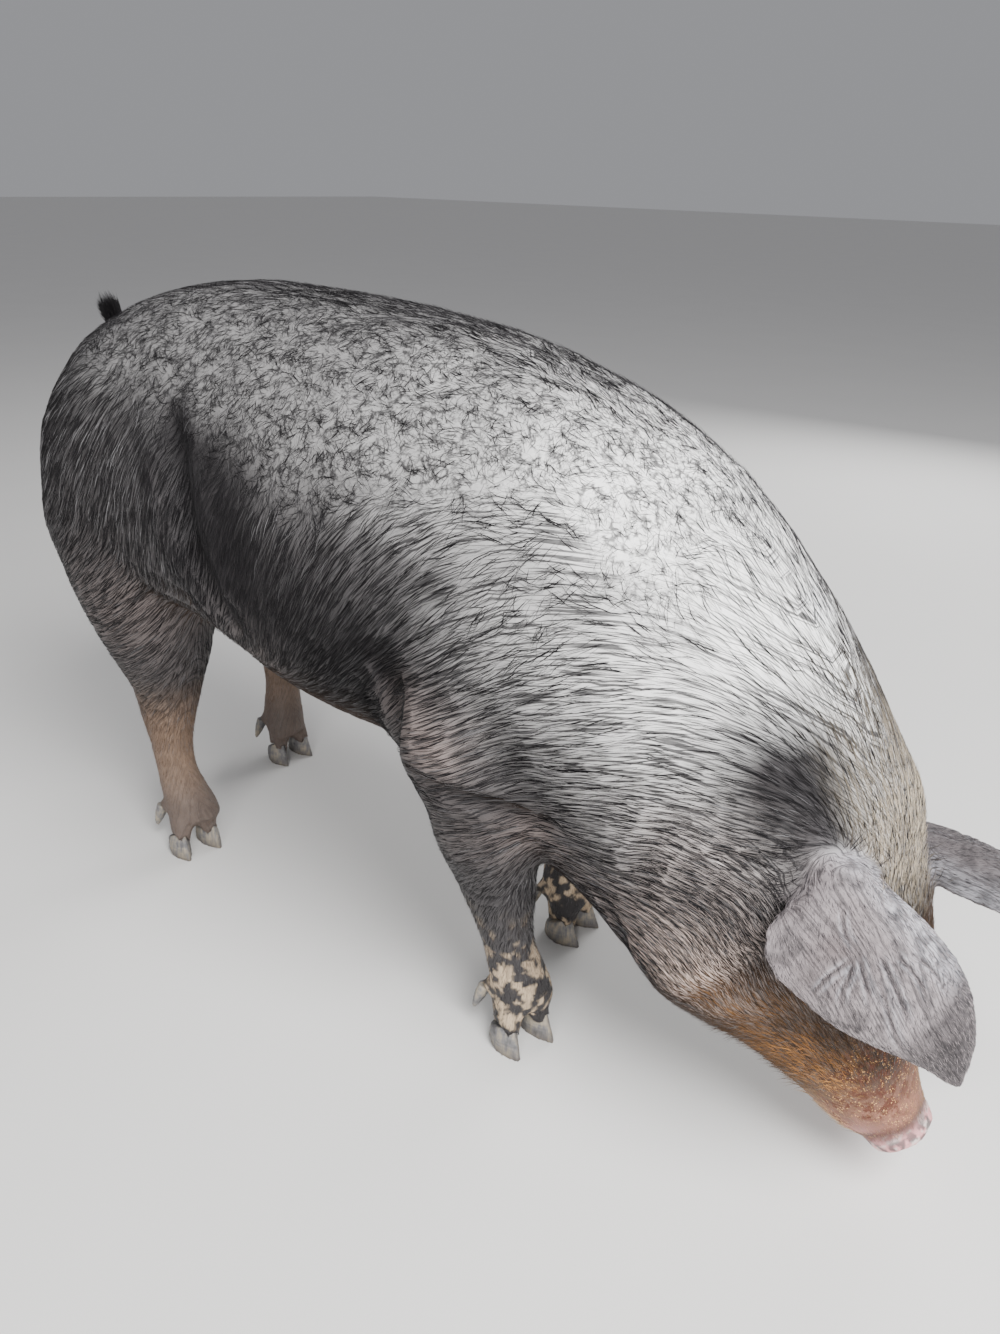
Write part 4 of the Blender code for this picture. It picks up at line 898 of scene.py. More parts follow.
def ear_layers(places, facing, kinds, side, small):
    """Masks and colours over one ear: pale edge, dusky root, dark tip, mottling, painted shade in
    the creases with painted highlight on their lips, pink inner face, and painted shade over the
    left ear.
    """
    u, v, _ = on_ear(places, side)
    mine = kinds.ear * (places[:, 1] * side > 0.0)
    edge = ease(v - 0.16 * u, -0.01, 0.03) * wane(u, 0.1, 0.15)
    dusk = np.exp(-(((u - 0.034) ** 2 + (v + 0.045) ** 2) / 0.04 ** 2))
    tip = ease(u + 0.4 * v, 0.105, 0.15)
    patchy = ease(noise(places, 75.0, 29) + 0.6 * noise(places, 210.0, 30), 0.0, 0.7)
    lines = np.zeros(len(u))
    near = mine > 0.2
    lines[near] = ear_lines(u[near], v[near], 1.0, 0.0016, 0.3)
    inside = ease(-(facing @ ear_frame(side)[3]), 0.0, 0.5)
    return ((mine * edge * (0.7 + 0.25 * small), EAR_PALE),
            (mine * dusk * (0.78 + 0.3 * small), EAR_DUSK),
            (mine * tip * 0.74, DARK_SLATE), (mine * patchy * 0.58, DARK_SLATE),
            # Painted shade in the ear's creases, and painted highlight on their raised lips
            (mine * held(lines) * 0.8, DARK_SLATE),
            (mine * held(-lines * 3.0) * 0.35, EAR_PALE),
            (mine * inside * 0.6, PINK_GREY),
            # Painted shade over the whole left ear, which lies in shadow
            (mine * (0.62 if side == LEFT else 0.0), DARK_SLATE))


def markings(places, facing, shares):
    """Colour of the skin, with its painted sheen and painted shade, and of the bristles, and the
    share of crust, at each point.
    """
    pig = places - ORIGIN
    kinds = by_kind(shares)
    head, leg, ear, disc = kinds.head, kinds.leg, kinds.ear, kinds.snout_disc
    share, _ = spine_place(pig)
    x, z = pig[:, 0], pig[:, 2]
    broad, mid = noise(places, 7.0, 21), noise(places, 19.0, 22)
    small = noise(places, 60.0, 23)
    trunk = kinds.trunk + head
    flesh = trunk + leg
    # Painted shade on faces turned back, high on the body, and on faces turned down
    behind = ease(-facing[:, 0], 0.2, 0.8) * (z > 0.4)
    below = ease(-facing[:, 2], 0.2, 0.8)

    over = z - along_knots(FELT_EDGE, x)
    # Facing up and lying above the felt line: where the painted sheen lies
    top = ease(facing[:, 2] * 0.9 + over * 3.0 + 0.12 * broad + 0.08 * mid, -0.02, 0.75)
    # Dark skin: the flank's dark coat and the neck patch, with painted shade on faces turned back
    # or down, between elbow and breast and below the ear
    dark = 1.05 * flank_shade(pig) + marked(pig, "dark") + 0.55 * behind + 0.35 * below
    low = leg * wane(z + 0.02 * mid, 0.2, 0.34)
    hind, fore = low * (x < 0.0), low * (x > 0.0)
    blotch = ease(noise(places, 120.0, 24) + 0.5 * noise(places, 45.0, 41)
                         + 0.35 * noise(places, 310.0, 42), 0.08, 0.46)
    pastern = fore * wane(z + 0.03 * small, 0.09, 0.21)
    ginger = ginger_patch(pig, kinds) * (0.8 + 0.35 * small)
    crown = ease(z, 0.29, 0.37) * wane(np.abs(pig[:, 1]), 0.055, 0.09)
    face = head * ease(share, 0.8, 0.9) * (1.0 - crown)
    muzzle = ease(share, 0.925, 0.975) * head
    # Painted shade on the lower lip, below the line of the mouth
    lip_shadow = ease(-(z - 0.078 + 0.55 * (0.7 - x)), 0.0, 0.012) * muzzle
    crust = held(marked(pig, "crust")) * (head > 0.5)
    crust *= ease(small + 0.6 * mid, -1.2, -0.1)
    flat_face = ease(facing @ unit(np.array(DISC_FACING)), 0.55, 0.85)
    speckle = ease(noise(places, 260.0, 37) + 0.7 * noise(places, 70.0, 38), -0.1, 0.15)
    dusky = ease(noise(places, 230.0, 39) + 0.6 * noise(places, 60.0, 40), -0.1, 0.08)

    skin = layered(
        np.tile(SLATE, (len(places), 1)),
        # Painted sheen: silver on the upper side and neck, where the light from above shines
        (top * along_knots(SHEEN_SHARE, x) * trunk, SHEEN_SILVER),
        (marked(pig, "neck sheen") * trunk, SHEEN_SILVER),
        # Dark coat and patches, and painted shade
        (dark * (0.88 + 0.15 * mid) * flesh, DARK_SLATE),
        (marked(pig, "pink") * (0.85 + 0.35 * mid) * flesh, PINK_GREY),
        (hind * (0.85 + 0.25 * mid), TAN),
        (hind * wane(z, 0.075, 0.175) * 0.7, SLATE),
        (fore * 0.5, SLATE), (pastern * 0.6, DARK_SLATE),
        (pastern * blotch * 0.95, PASTERN_TAN),
        (head * crown * 0.6, CROWN_TAN), (face * 0.9, CHEEK_BROWN), (ginger * 0.8, GINGER),
        # Pink jowl, partly painted light on the dim underside
        (marked(pig, "jowl") * (1.0 - ginger) * (0.85 + 0.3 * mid) * trunk, JOWL_PINK),
        (muzzle * (0.85 + 0.3 * small), MUZZLE_BROWN),
        (marked(pig, "lips") * head * 0.75, DISC_PINK), (lip_shadow * 0.8, LIP_SHADOW),
        (ear, EAR_SLATE))
    for side in SIDES:
        along, up, away = on_lids(places, side)
        rim = np.exp(-((np.hypot(along / LID_RIM[0], up / LID_RIM[1]) - 1.0) / LID_RIM[2]) ** 2)
        skin = layered(skin, *ear_layers(places, facing, kinds, side, small),
                       (rim * (away < 2.5) * 0.75, LID_DARK))
    skin = layered(
        skin, (disc, DISC_PINK),
        (disc * speckle * (1.0 - 0.5 * flat_face) * 0.75, DISC_RIM),
        (disc * dusky * (1.0 - flat_face) * 0.8, SLATE),
        (kinds.tail * 0.5, DARK_SLATE))
    # Painted shade in the creases: the skin darkened along the valley of each fold, partly for
    # dirt held there
    folded = columns(x, np.abs(pig[:, 1]), z)
    for depth, width, _, route in FOLDS:
        valley = held(groove(folded, route, 1.0, width * 1.3, 0.0))
        skin = blended(skin, valley * flesh * min(depth * 90.0, 0.75), DARK_SLATE)
    skin *= (1.0 + 0.12 * mid + 0.1 * noise(places, 130.0, 27))[:, None]
    # Painted shade: the legs darkened above the feet
    skin *= (1.0 - 0.26 * leg * ease(z, 0.1, 0.2))[:, None]

    def chosen(seed, share_left):
        """A fixed random choice of bristles."""
        return hashed(places * 4000.0, seed) > share_left

    pale = chosen(33, 0.45)
    belly = ease(-facing[:, 2], 0.3, 0.75) * kinds.trunk
    hair = layered(
        np.tile(BLACK_HAIR, (len(places), 1)), (face * 0.85, BROWN_HAIR),
        (np.clip(ginger * 1.2, 0.0, 0.92) * chosen(28, 0.36), GINGER_HAIR),
        ((marked(pig, "chin") + muzzle * 0.5) * head, CHIN_HAIR),
        (ear * ~pale, EAR_DARK), (ear * pale, EAR_SLATE),
        # Painted shade on the bristles of the left ear
        (ear * (pig[:, 1] > 0.0) * 0.6, DARK_SLATE),
        (crown * head * 0.75 * chosen(34, 0.45), PALE_HAIR), (belly * 0.45, BROWN_HAIR),
        (hind * 0.45 + pastern * blotch * 0.4, TAN))
    return np.clip(skin, 0.003, 1.0), hair, crust


def lie_field(skin, shares):
    """The way the coat lies at each vertex of the skin, smoothed over it."""
    places, facing = coordinates(skin), normals(skin)
    pig = places - ORIGIN
    kinds = by_kind(shares)
    x, z = pig[:, 0], pig[:, 2]
    flat = np.abs(facing[:, 1])
    down = np.interp(x, (-0.5, -0.38, -0.25, -0.1, 0.08, 0.18, 0.3, 0.4, 0.6),
                     (1.6, 1.5, 1.6, 3.2, 2.8, 1.6, 0.95, 0.45, 0.3))
    low = wane(z, 0.4, 0.52)
    down = down + (0.35 - down) * low
    side_way = columns(-1.0, 0.0, -down)
    share, _ = spine_place(pig)
    _, steps, marks = spine_line()
    steps, middles = unit(steps), (marks[1:] + marks[:-1]) / 2.0 / marks[-1]
    back = -columns(*(np.interp(share, middles, step) for step in steps.T))
    beside = ease(flat, 0.35, 0.85)[:, None]
    way = unit(back) * (1.0 - beside) + unit(side_way) * beside
    leg_down = ease(z, 0.14, 0.34)
    leg_way = columns(-0.15 - 0.85 * leg_down, 0.0, -1.0 + 0.7 * leg_down)
    way += (unit(leg_way) - way) * held(kinds.leg * 1.2)[:, None]
    away = unit(pig - np.array(SNOUT_TIP) - np.array((0.01, 0.0, -0.02)))
    on_head = held(kinds.head + kinds.snout_disc)[:, None]
    way += (away - way) * on_head
    for side in SIDES:
        root, lengthwise, across, _ = ear_frame(side)
        mine = (kinds.ear > 0.4) & (places[:, 1] * side > 0.0)
        spread = (places[mine] - root) @ across
        way[mine] = lengthwise + across * (spread * 5.0)[:, None]
    tail = np.array(TAIL_LINE)
    middles, steps = (tail[1:] + tail[:-1]) / 2.0, np.diff(tail, axis=0)
    mine = kinds.tail > 0.5
    nearest = norm(pig[mine][:, None] - middles[None], axis=2).argmin(axis=1)
    way[mine] = unit(steps[nearest])
    links = Links(skin)
    for _ in range(14):
        way = unit(way - facing * dotted(way, facing))
        way = way + (links.mean(way) - way) * 0.8
    return unit(way - facing * dotted(way, facing))


def flow_length(skin, way, trust, start):
    """A length at each vertex of the skin that grows the way given, as nearly as it can."""
    links, places = Links(skin), coordinates(skin)
    spans = places[links.others] - places[links.ends]
    rise = np.sum(spans * (way[links.ends] + way[links.others]), axis=1) / 2.0
    weight = trust[links.ends] * trust[links.others]
    total = np.bincount(links.ends, weight, links.count)

    def spread(values):
        return total * values - np.bincount(links.ends, weight * values[links.others], links.count)

    length = start.copy()
    short = -np.bincount(links.ends, weight * rise, links.count) - spread(length)
    eased = short / total
    step, gain = eased.copy(), short @ eased
    for _ in range(FLOW_ROUNDS):
        moved = spread(step)
        share = gain / (step @ moved)
        length += share * step
        short -= share * moved
        eased = short / total
        last, gain = gain, short @ eased
        step = eased + step * gain / last
    return length


class Roots:
    """Points spread over the skin where bristles grow, with what is known at each."""

    def __init__(self, skin, field, density, count, rng):
        places, corners = field["places"], field["corners"]
        a, b, c = (places[corners[:, corner]] for corner in range(3))
        area = norm(np.cross(b - a, c - a), axis=1) / 2.0
        edges = np.cumsum(area * density[corners].mean(axis=1))
        step = (np.arange(count) + rng.uniform(0.0, 1.0, count)) * edges[-1] / count
        chosen = np.minimum(np.searchsorted(edges, step), len(corners) - 1)
        r, s = rng.uniform(0.0, 1.0, (2, count))
        flip = r + s > 1.0
        r[flip], s[flip] = 1.0 - r[flip], 1.0 - s[flip]
        self.corners = corners[chosen]
        self.spread = columns(1.0 - r - s, r, s)
        self.count = count
        self.places = self.blend(places)
        self.facing = unit(self.blend(field["facing"]))
        self.shares = self.blend(field["shares"])
        way = self.blend(field["way"])
        self.way = unit(way - self.facing * dotted(way, self.facing))
        self.labels = field["labels"][self.corners[:, 0]]
        self.kinds = by_kind(self.shares)
        self.pig = self.places - ORIGIN

    def blend(self, values):
        return np.einsum("nk,nkd->nd", self.spread, values[self.corners])

    def turned(self, angle):
        """The lie of the coat turned on the skin, and the direction across it."""
        across = np.cross(self.facing, self.way)
        way = self.way * np.cos(angle)[:, None] + across * np.sin(angle)[:, None]
        return way, np.cross(self.facing, way)


def settled_tips(tree, tips, height):
    """Moves each tip to stand a little above the skin."""
    landed = np.empty_like(tips)
    for number, tip in enumerate(tips):
        spot, facing, _, _ = tree.find_nearest(tip)
        landed[number] = spot + facing * height[number]
    return landed


def clear_of_skin(tree, roots, aim, length, bend):
    """Arches each strand so that its middle stays above the skin, with its tip kept in place."""
    reach = aim * length[:, None]
    middles = roots + reach * 0.5 + bend * 0.25
    rise = np.empty_like(roots)
    for number, middle in enumerate(middles):
        spot, facing, _, _ = tree.find_nearest(middle)
        low = MIDDLE_HEIGHT - (Vector(middle) - spot).dot(facing)
        rise[number] = facing * max(low, 0.0) * 4.0
    reach = reach + rise
    return unit(reach), norm(reach, axis=1), bend - rise


def locked(roots, way, tips, pull, rng):
    """Draws the tips of neighbouring strands together into thin locks."""
    centres = rng.permutation(len(roots))[:len(roots) // STRANDS_A_LOCK]
    tree = KDTree(len(centres))
    for centre in centres:
        tree.insert(roots[centre], int(centre))
    tree.balance()
    leader = np.array([tree.find(root)[1] for root in roots])
    drawn = tips[leader] - tips
    drawn -= way * dotted(drawn, way)
    return tips + drawn * pull[:, None]


def strand_lie(roots, tree, rng):
    """Aim, length, bend and width of each long strand."""
    pig, kinds, count = roots.pig, roots.kinds, roots.count
    z = pig[:, 2]
    felt = felted(pig, kinds)
    curled = held(felt + marked(pig, "curled shoulder"))
    angle = (noise(pig, 62.0, 31) * (0.08 + 2.2 * curled)
             + noise(pig, 14.0, 32) * (0.1 + 0.4 * curled)
             + rng.normal(0.0, 1.0, count) * (0.06 + 0.45 * curled))
    way, across = roots.turned(angle)
    length = STRAND_LENGTH - 0.021 * curled - 0.007 * kinds.neck - 0.021 * kinds.head
    length -= kinds.leg * (0.02 - 0.01 * ease(z, 0.25, 0.45))
    length -= 0.01 * marked(pig, "elbow")
    length *= rng.uniform(0.65, 1.25, count)
    curl = rng.normal(0.0, 1.0, count) * (0.07 + 0.85 * curled)
    tips = roots.places + (way + across * curl[:, None]) * length[:, None]
    pull = LOCK_PULL * (1.0 - 0.5 * curled) * rng.uniform(0.0, 1.6, count)
    tips = locked(roots.places, way, tips, pull, rng)
    ruff = held(ginger_patch(pig, kinds) + marked(pig, "jaw") * kinds.head)
    height = TIP_HEIGHT * rng.uniform(0.4, 1.9, count) * (1.0 + 0.8 * curled)
    proud = ruff * rng.uniform(0.0, 1.0, count) ** 2
    height += RUFF_HEIGHT * proud
    tips = settled_tips(tree, tips, height)
    lift = 0.1 + 0.08 * curled + 0.3 * proud + rng.uniform(-0.02, 0.05, count)
    aim = unit(way * np.cos(lift)[:, None] + roots.facing * np.sin(lift)[:, None])
    bend = tips - roots.places - aim * length[:, None]
    aim, length, bend = clear_of_skin(tree, roots.places, aim, length, bend)
    width = 1.0 - 0.25 * kinds.head - 0.2 * kinds.leg - 0.1 * kinds.neck - 0.22 * felt
    width *= 0.65 + 1.5 * rng.uniform(0.0, 1.0, count) ** 4
    return aim, length, bend, width


def hair_lie(roots, tree, rng):
    """Aim, length, bend and width of each short hair."""
    pig, kinds, count = roots.pig, roots.kinds, roots.count
    z = pig[:, 2]
    angle = noise(pig, 60.0, 36) * 0.25 + rng.normal(0.0, 0.18, count)
    way, _ = roots.turned(angle)
    from_snout = norm(pig - np.array(SNOUT_TIP), axis=1)
    length = HAIR_LENGTH + 0.007 * ease(from_snout, 0.05, 0.22) * kinds.head
    length += kinds.leg * 0.007 * ease(z, 0.06, 0.25) + 0.006 * kinds.tail
    length += 0.004 * kinds.trunk
    chin = marked(pig, "chin hairs") * kinds.head
    length += CHIN_LENGTH * ease(chin, 0.25, 0.8) * (rng.uniform(0.0, 1.0, count) > 0.55)
    length *= rng.uniform(0.7, 1.3, count)
    tips = settled_tips(tree, roots.places + way * length[:, None],
                        length * rng.uniform(0.12, 0.3, count))
    reach = tips - roots.places
    width = 0.8 + 0.5 * kinds.head + 0.3 * kinds.leg + 0.7 * kinds.ear
    width *= rng.uniform(0.6, 1.4, count)
    return unit(reach), norm(reach, axis=1), np.zeros((count, 3)), width


def bristle_tree(material, radius, segments):
    """Geometry nodes that grow one tapered bristle on each point of a mesh."""
    tree = bpy.data.node_groups.new("grow_bristles", "GeometryNodeTree")
    tree.is_modifier = True
    face = tree.interface
    face.new_socket(name="Geometry", in_out="INPUT", socket_type="NodeSocketGeometry")
    for name, kind, value in (("Bristle radius", "NodeSocketFloat", radius),
                              ("Sides", "NodeSocketInt", 3),
                              ("Segments", "NodeSocketInt", segments),
                              ("Fullness", "NodeSocketFloat", FULLNESS),
                              ("Bake patch", "NodeSocketFloat", BAKE_PATCH)):
        face.new_socket(name=name, in_out="INPUT", socket_type=kind).default_value = value
    face.new_socket(name="Geometry", in_out="OUTPUT", socket_type="NodeSocketGeometry")
    graph = Graph(tree)
    inputs = tree.nodes.new("NodeGroupInput")

    def given(name):
        return Wire(graph, inputs.outputs[name])

    def stored(name, kind):
        return graph.node("GeometryNodeInputNamedAttribute", {"data_type": kind}, {"Name": name})

    def shaped(shape, kind, settings=None, **sockets):
        return graph.node("GeometryNode" + kind, settings, {"Geometry": shape, **sockets})

    cone = graph.node("GeometryNodeMeshCone", {"fill_type": "NGON"},
                      {"Vertices": given("Sides"), "Side Segments": given("Segments"),
                       "Radius Top": 0.0, "Radius Bottom": 1.0, "Depth": 1.0}, "Mesh")
    place = graph.node("GeometryNodeInputPosition")
    up = graph.node("ShaderNodeSeparateXYZ", None, {0: place}, "Z")
    around, beside = (Wire(graph, up.socket.node.outputs[axis]) for axis in "XY")
    fuller = up * (1.0 - up) * given("Fullness") * 4.0
    cone = shaped(cone, "SetPosition", Offset=graph.combined(around * fuller, beside * fuller))
    for name, value in (("along", up), ("around", around * 0.5 + 0.5)):
        cone = shaped(cone, "StoreNamedAttribute", {"data_type": "FLOAT"}, Name=name, Value=value)
    aim, facing = stored("aim", "FLOAT_VECTOR"), stored("facing", "FLOAT_VECTOR")
    turned = graph.node("FunctionNodeAlignRotationToVector", {"axis": "Z"}, {"Vector": aim})
    turned = graph.node("FunctionNodeAlignRotationToVector", {"axis": "X", "pivot_axis": "Z"},
                        {"Rotation": turned, "Vector": facing})
    wide = stored("width", "FLOAT") * given("Bristle radius")
    grown = graph.node("GeometryNodeInstanceOnPoints", None,
                       {"Points": given("Geometry"), "Instance": cone, "Rotation": turned,
                        "Scale": graph.combined(wide, wide, stored("length", "FLOAT"))})
    grown = shaped(grown, "RealizeInstances")
    along = stored("along", "FLOAT")
    swing = graph.vector("SCALE", stored("bend", "FLOAT_VECTOR"), along * along)
    grown = shaped(grown, "SetPosition", Offset=swing)
    patch = graph.combined(stored("around", "FLOAT") * given("Bake patch"),
                           along * given("Bake patch"))
    layout = graph.vector("ADD", stored("layout", "FLOAT_VECTOR"), patch)
    grown = shaped(grown, "StoreNamedAttribute", {"data_type": "FLOAT2", "domain": "CORNER"},
                   Name="OFBake", Value=layout)
    grown = shaped(grown, "SetMaterial", Material=material)
    output = tree.nodes.new("NodeGroupOutput")
    tree.links.new(grown.socket, output.inputs[0])
    return tree


def store(target, name, values):
    """Keeps one number, vector or colour for each vertex of a mesh under a name."""
    kind, field = "FLOAT_VECTOR", "vector"
    if values.ndim == 1:
        kind, field = "FLOAT", "value"
    elif name == "tint":
        kind, field = "FLOAT_COLOR", "color"
        values = np.concatenate((values, np.ones((len(values), 1))), axis=1)
    layer = target.data.attributes.new(name, kind, "POINT")
    layer.data.foreach_set(field, np.ascontiguousarray(values, dtype=np.float32).ravel())


def bristled(name, tree, roots, facing, aim, length, bend, width, tint, layout):
    """One piece of the coat, from the places and directions of its bristles."""
    piece = placed(name, bpy.data.meshes.new(name))
    piece.data.vertices.add(len(roots))
    piece.data.vertices.foreach_set("co", np.ascontiguousarray(roots).ravel())
    for key, values in (("facing", facing), ("aim", aim), ("bend", bend), ("length", length),
                        ("width", width), ("tint", tint), ("layout", columns(*layout.T, 0.0))):
        store(piece, key, values)
    piece.modifiers.new("Bristles", "NODES").node_group = tree
    baked(piece)
    for spare in ("aim", "bend", "length", "width", "layout", "facing", "around"):
        if spare in piece.data.attributes:
            piece.data.attributes.remove(piece.data.attributes[spare])
    return piece


def new_material(name):
    made = bpy.data.materials.new(name)
    made.use_nodes = True
    graph = Graph(made.node_tree)
    shader = made.node_tree.nodes["Principled BSDF"]
    place = graph.node("ShaderNodeTexCoord", output="Object")
    return made, graph, shader, place


def connect(graph, shader, **values):
    """Links or sets the inputs of a shader."""
    names = {"colour": "Base Color", "roughness": "Roughness", "normal": "Normal",
             "specular": "Specular IOR Level", "coat": "Coat Weight"}
    for key, value in values.items():
        if isinstance(value, Wire):
            graph.tree.links.new(value.socket, shader.inputs[names[key]])
        else:
            shader.inputs[names[key]].default_value = value


def hide_material():
    made, graph, shader, place = new_material("pig_hide")
    colour = graph.attribute("tint", "Color")
    crust, felt, haired, across, along = (
        graph.attribute(name) for name in ("crust", "felt", "haired", "across", "along"))
    # Grain and mottling of the bare skin
    grain = graph.noise(place, 900.0, 3.0, 0.6)
    mottle = graph.noise(place, 140.0, 3.0, 0.6)
    shade = 0.6 + 0.45 * grain + 0.35 * mottle
    tone = graph.combined(shade, shade, shade, kind="Color")
    colour = graph.mix(1.0, colour, tone, "MULTIPLY")
    # Fine straight hairs, stretched along the lie of the coat
    lines = 0.03 * graph.noise(place, 22.0, 1.0)
    for wide, lengthwise, weight in FINE_HAIRS:
        spot = graph.combined(across * wide, along * lengthwise)
        lines = lines + graph.noise(spot, 1.0, 0.0) * weight
    # Broken curls of the felted back: the edges of bent cells
    drift = graph.vector("SCALE", graph.noise(place, 75.0, output="Color"), 0.006)
    curled = graph.vector("ADD", place, drift)
    curls = None
    broken = ((graph.noise(place, 105.0, 2.0) - 0.44) * 9.0).clamped()
    for scale, weight in ((66.0, 0.6), (150.0, 0.5)):
        edge = graph.cells(curled, scale, "DISTANCE_TO_EDGE")
        line = (1.0 - edge * 8.0).clamped() * weight
        curls = line if curls is None else curls + line
    straight = ((0.498 - lines) * 13.0).clamped() * (1.0 - felt)
    hairs = (straight * 0.84 + (curls * 1.6).clamped() * broken * felt * 0.8) * haired
    colour = graph.mix(hairs, colour, (*BLACK_HAIR, 1.0))
    # Dark scabs and golden crumbs of the dried crust
    flakes = graph.noise(place, 240.0, 4.0, 0.7)
    scab = ((flakes * 0.5 + graph.noise(place, 95.0, 2.0) * 0.5 - 0.46) * 12.0).clamped() * crust
    strewn = ((graph.noise(place, 110.0, 3.0) - 0.47) * 10.0).clamped()
    golden = ((0.36 - graph.cells(place, 430.0, "F1")) * 9.0).clamped() * crust * strewn
    colour = graph.mix(scab * 0.9, colour, (*SCAB, 1.0))
    colour = graph.mix(golden * 0.9, colour, (*GOLDEN_CRUMB, 1.0))
    height = grain * 0.5 + mottle * 0.8 + crust * flakes * 3.0 + golden + hairs * 1.5
    connect(graph, shader, colour=colour, roughness=0.46 + 0.2 * mottle + 0.2 * crust,
            normal=graph.bump(height, 0.6), specular=0.22)
    return made


def bristle_material():
    made, graph, shader, _ = new_material("bristle")
    connect(graph, shader, colour=graph.attribute("tint", "Color"), roughness=0.5, specular=0.1)
    return made


def eye_material():
    made, graph, shader, _ = new_material("eye")
    colour = graph.colours(graph.attribute("reach"), *EYE_RINGS)
    connect(graph, shader, colour=colour, roughness=0.06, coat=1.0)
    return made


def hoof_material():
    made, graph, shader, place = new_material("hoof_horn")
    stretched = graph.vector("MULTIPLY", place, (260.0, 260.0, 45.0))
    streaks = graph.noise(stretched, 1.0, 3.0, 0.6)
    patches = graph.noise(place, 60.0, 2.0)
    height = graph.node("ShaderNodeSeparateXYZ", None, {0: place}, "Z")
    rings = (height * 1500.0 + patches * 4.0).math("SINE")
    colour = graph.colours(streaks * 0.45 + patches * 0.55, *HORN_TONES)
    dirt = (1.0 - height * 60.0).clamped()
    colour = graph.mix(dirt * 0.6, colour, (*HOOF_DIRT, 1.0))
    connect(graph, shader, colour=colour, roughness=0.45 + 0.25 * streaks,
            normal=graph.bump(rings * 0.25 + streaks, 0.5))
    return made


def floor_material():
    made, graph, shader, place = new_material("plain_floor")
    shade = 0.74 + 0.03 * graph.noise(place, 3.0, 2.0)
    colour = graph.combined(shade, shade * 0.985, shade * 0.96, kind="Color")
    connect(graph, shader, colour=colour, roughness=0.85)
    return made


def wear(target, material):
    target.data.materials.clear()
    target.data.materials.append(material)
    target.data.shade_smooth()


def blend_ear_roots(skin, shares):
    """Smooths the step where the front of each ear's root leaves the head."""
    places = coordinates(skin)
    links = Links(skin)
    ear = by_kind(shares).ear[:, None]
    for _ in range(10):
        ear = links.mean(ear)
    seam = 4.0 * ear[:, 0] * (1.0 - ear[:, 0])
    weights = np.zeros(len(places))
    for side in SIDES:
        _, across, out = on_ear(places, side)
        over = ease(across, -0.065, -0.03)
        front = ease(out, -0.02, 0.01)
        weights = np.maximum(weights, seam * over * front * (places[:, 1] * side > 0.0))
    relax(skin, EAR_ROOT_ROUNDS, weights * 0.8)


def make_skin():
    skin = merged_copy(FLESH, "pig_skin", SKIN_OVERLAP)
    remeshed(skin, SKIN_VOXEL * (1.0))
    labels = labelled(coordinates(skin))
    shares = kind_shares(skin, labels, BODY_BLEND)
    weights = SMOOTH_STEP * weighed(shares, SMOOTH_SHARES)
    relax(skin, SMOOTH_ROUNDS, weights, SMOOTH_RETURN / SMOOTH_STEP)
    blend_ear_roots(skin, shares)
    sculpted(skin, shares)
    places, facing = coordinates(skin), normals(skin)
    set_coordinates(skin, places - facing * weighed(shares, COAT_DEPTH)[:, None])
    relax(skin, 2, np.full(len(labels), 0.3))
    thinned(skin, shares)
    return skin


def make_coat(skin, labels, shares, way):
    rng = np.random.default_rng(SEED)
    share = 1.0
    field = {"places": coordinates(skin), "facing": normals(skin), "corners": corners_of(skin),
             "shares": shares, "labels": labels, "way": way}
    tree = BVHTree.FromObject(skin, bpy.context.evaluated_depsgraph_get())
    pig = field["places"] - ORIGIN
    kinds = by_kind(shares)
    z = pig[:, 2]
    upper_leg = kinds.leg * ease(z, 0.16, 0.26)
    cheek = ease(norm(pig - np.array(SNOUT_TIP), axis=1), 0.09, 0.15)
    thick = 1.0 + 0.45 * felted(pig, kinds) - marked(pig, "thin on neck")
    thick -= 0.85 * marked(pig, "thin on jowl")
    thick += 0.8 * flank_shade(pig)
    long_coat = kinds.trunk * thick + 1.1 * upper_leg
    long_coat += 3.0 * kinds.head * cheek
    short_coat = (3.2 * kinds.ear + 1.6 * kinds.head + 2.2 * kinds.tail
                  + 1.8 * kinds.leg * wane(z, 0.2, 0.34)
                  + 0.2 * kinds.snout_disc + 0.05 * kinds.trunk)
    material = bristle_material()
    strands = bristle_tree(material, STRAND_RADIUS, 2)
    hairs = bristle_tree(material, HAIR_RADIUS, 1)
    pieces = []
    for name, nodes, density, count, a_piece, lie in (
            ("coat_band", strands, long_coat, STRANDS, STRANDS_A_PIECE, strand_lie),
            ("short_coat", hairs, short_coat, HAIRS, HAIRS_A_PIECE, hair_lie)):
        roots = Roots(skin, field, np.maximum(density, 0.0), int(count * share), rng)
        aim, length, bend, width = lie(roots, tree, rng)
        _, tint, _ = markings(roots.places, roots.facing, roots.shares)
        # Grey bristles scattered through the coat: partly grey hairs, partly painted sheen on
        # black hair; fewer on the dark flank
        grey_and_sheen = (rng.uniform(0.0, 1.0, roots.count) > 1.0 - GREY_SHARE) * (1.0 - roots.kinds.ear)
        grey_and_sheen *= 1.0 - flank_shade(roots.pig)
        tint = blended(tint, grey_and_sheen * 0.75, GREY_HAIR) * rng.uniform(0.7, 1.35, roots.count)[:, None]
        layout = unwrapped(roots.places, roots.labels)
        sunk = roots.places - roots.facing * ROOT_DEPTH
        order = np.argsort(sunk[:, 0], kind="stable")
        for number, band in enumerate(np.array_split(order, math.ceil(roots.count / a_piece))):
            known = (sunk, roots.facing, aim, length, bend, width, tint, layout)
            pieces.append(bristled("%s_%d" % (name, number + 1), nodes,
                                   *(values[band] for values in known)))
    return pieces, strands


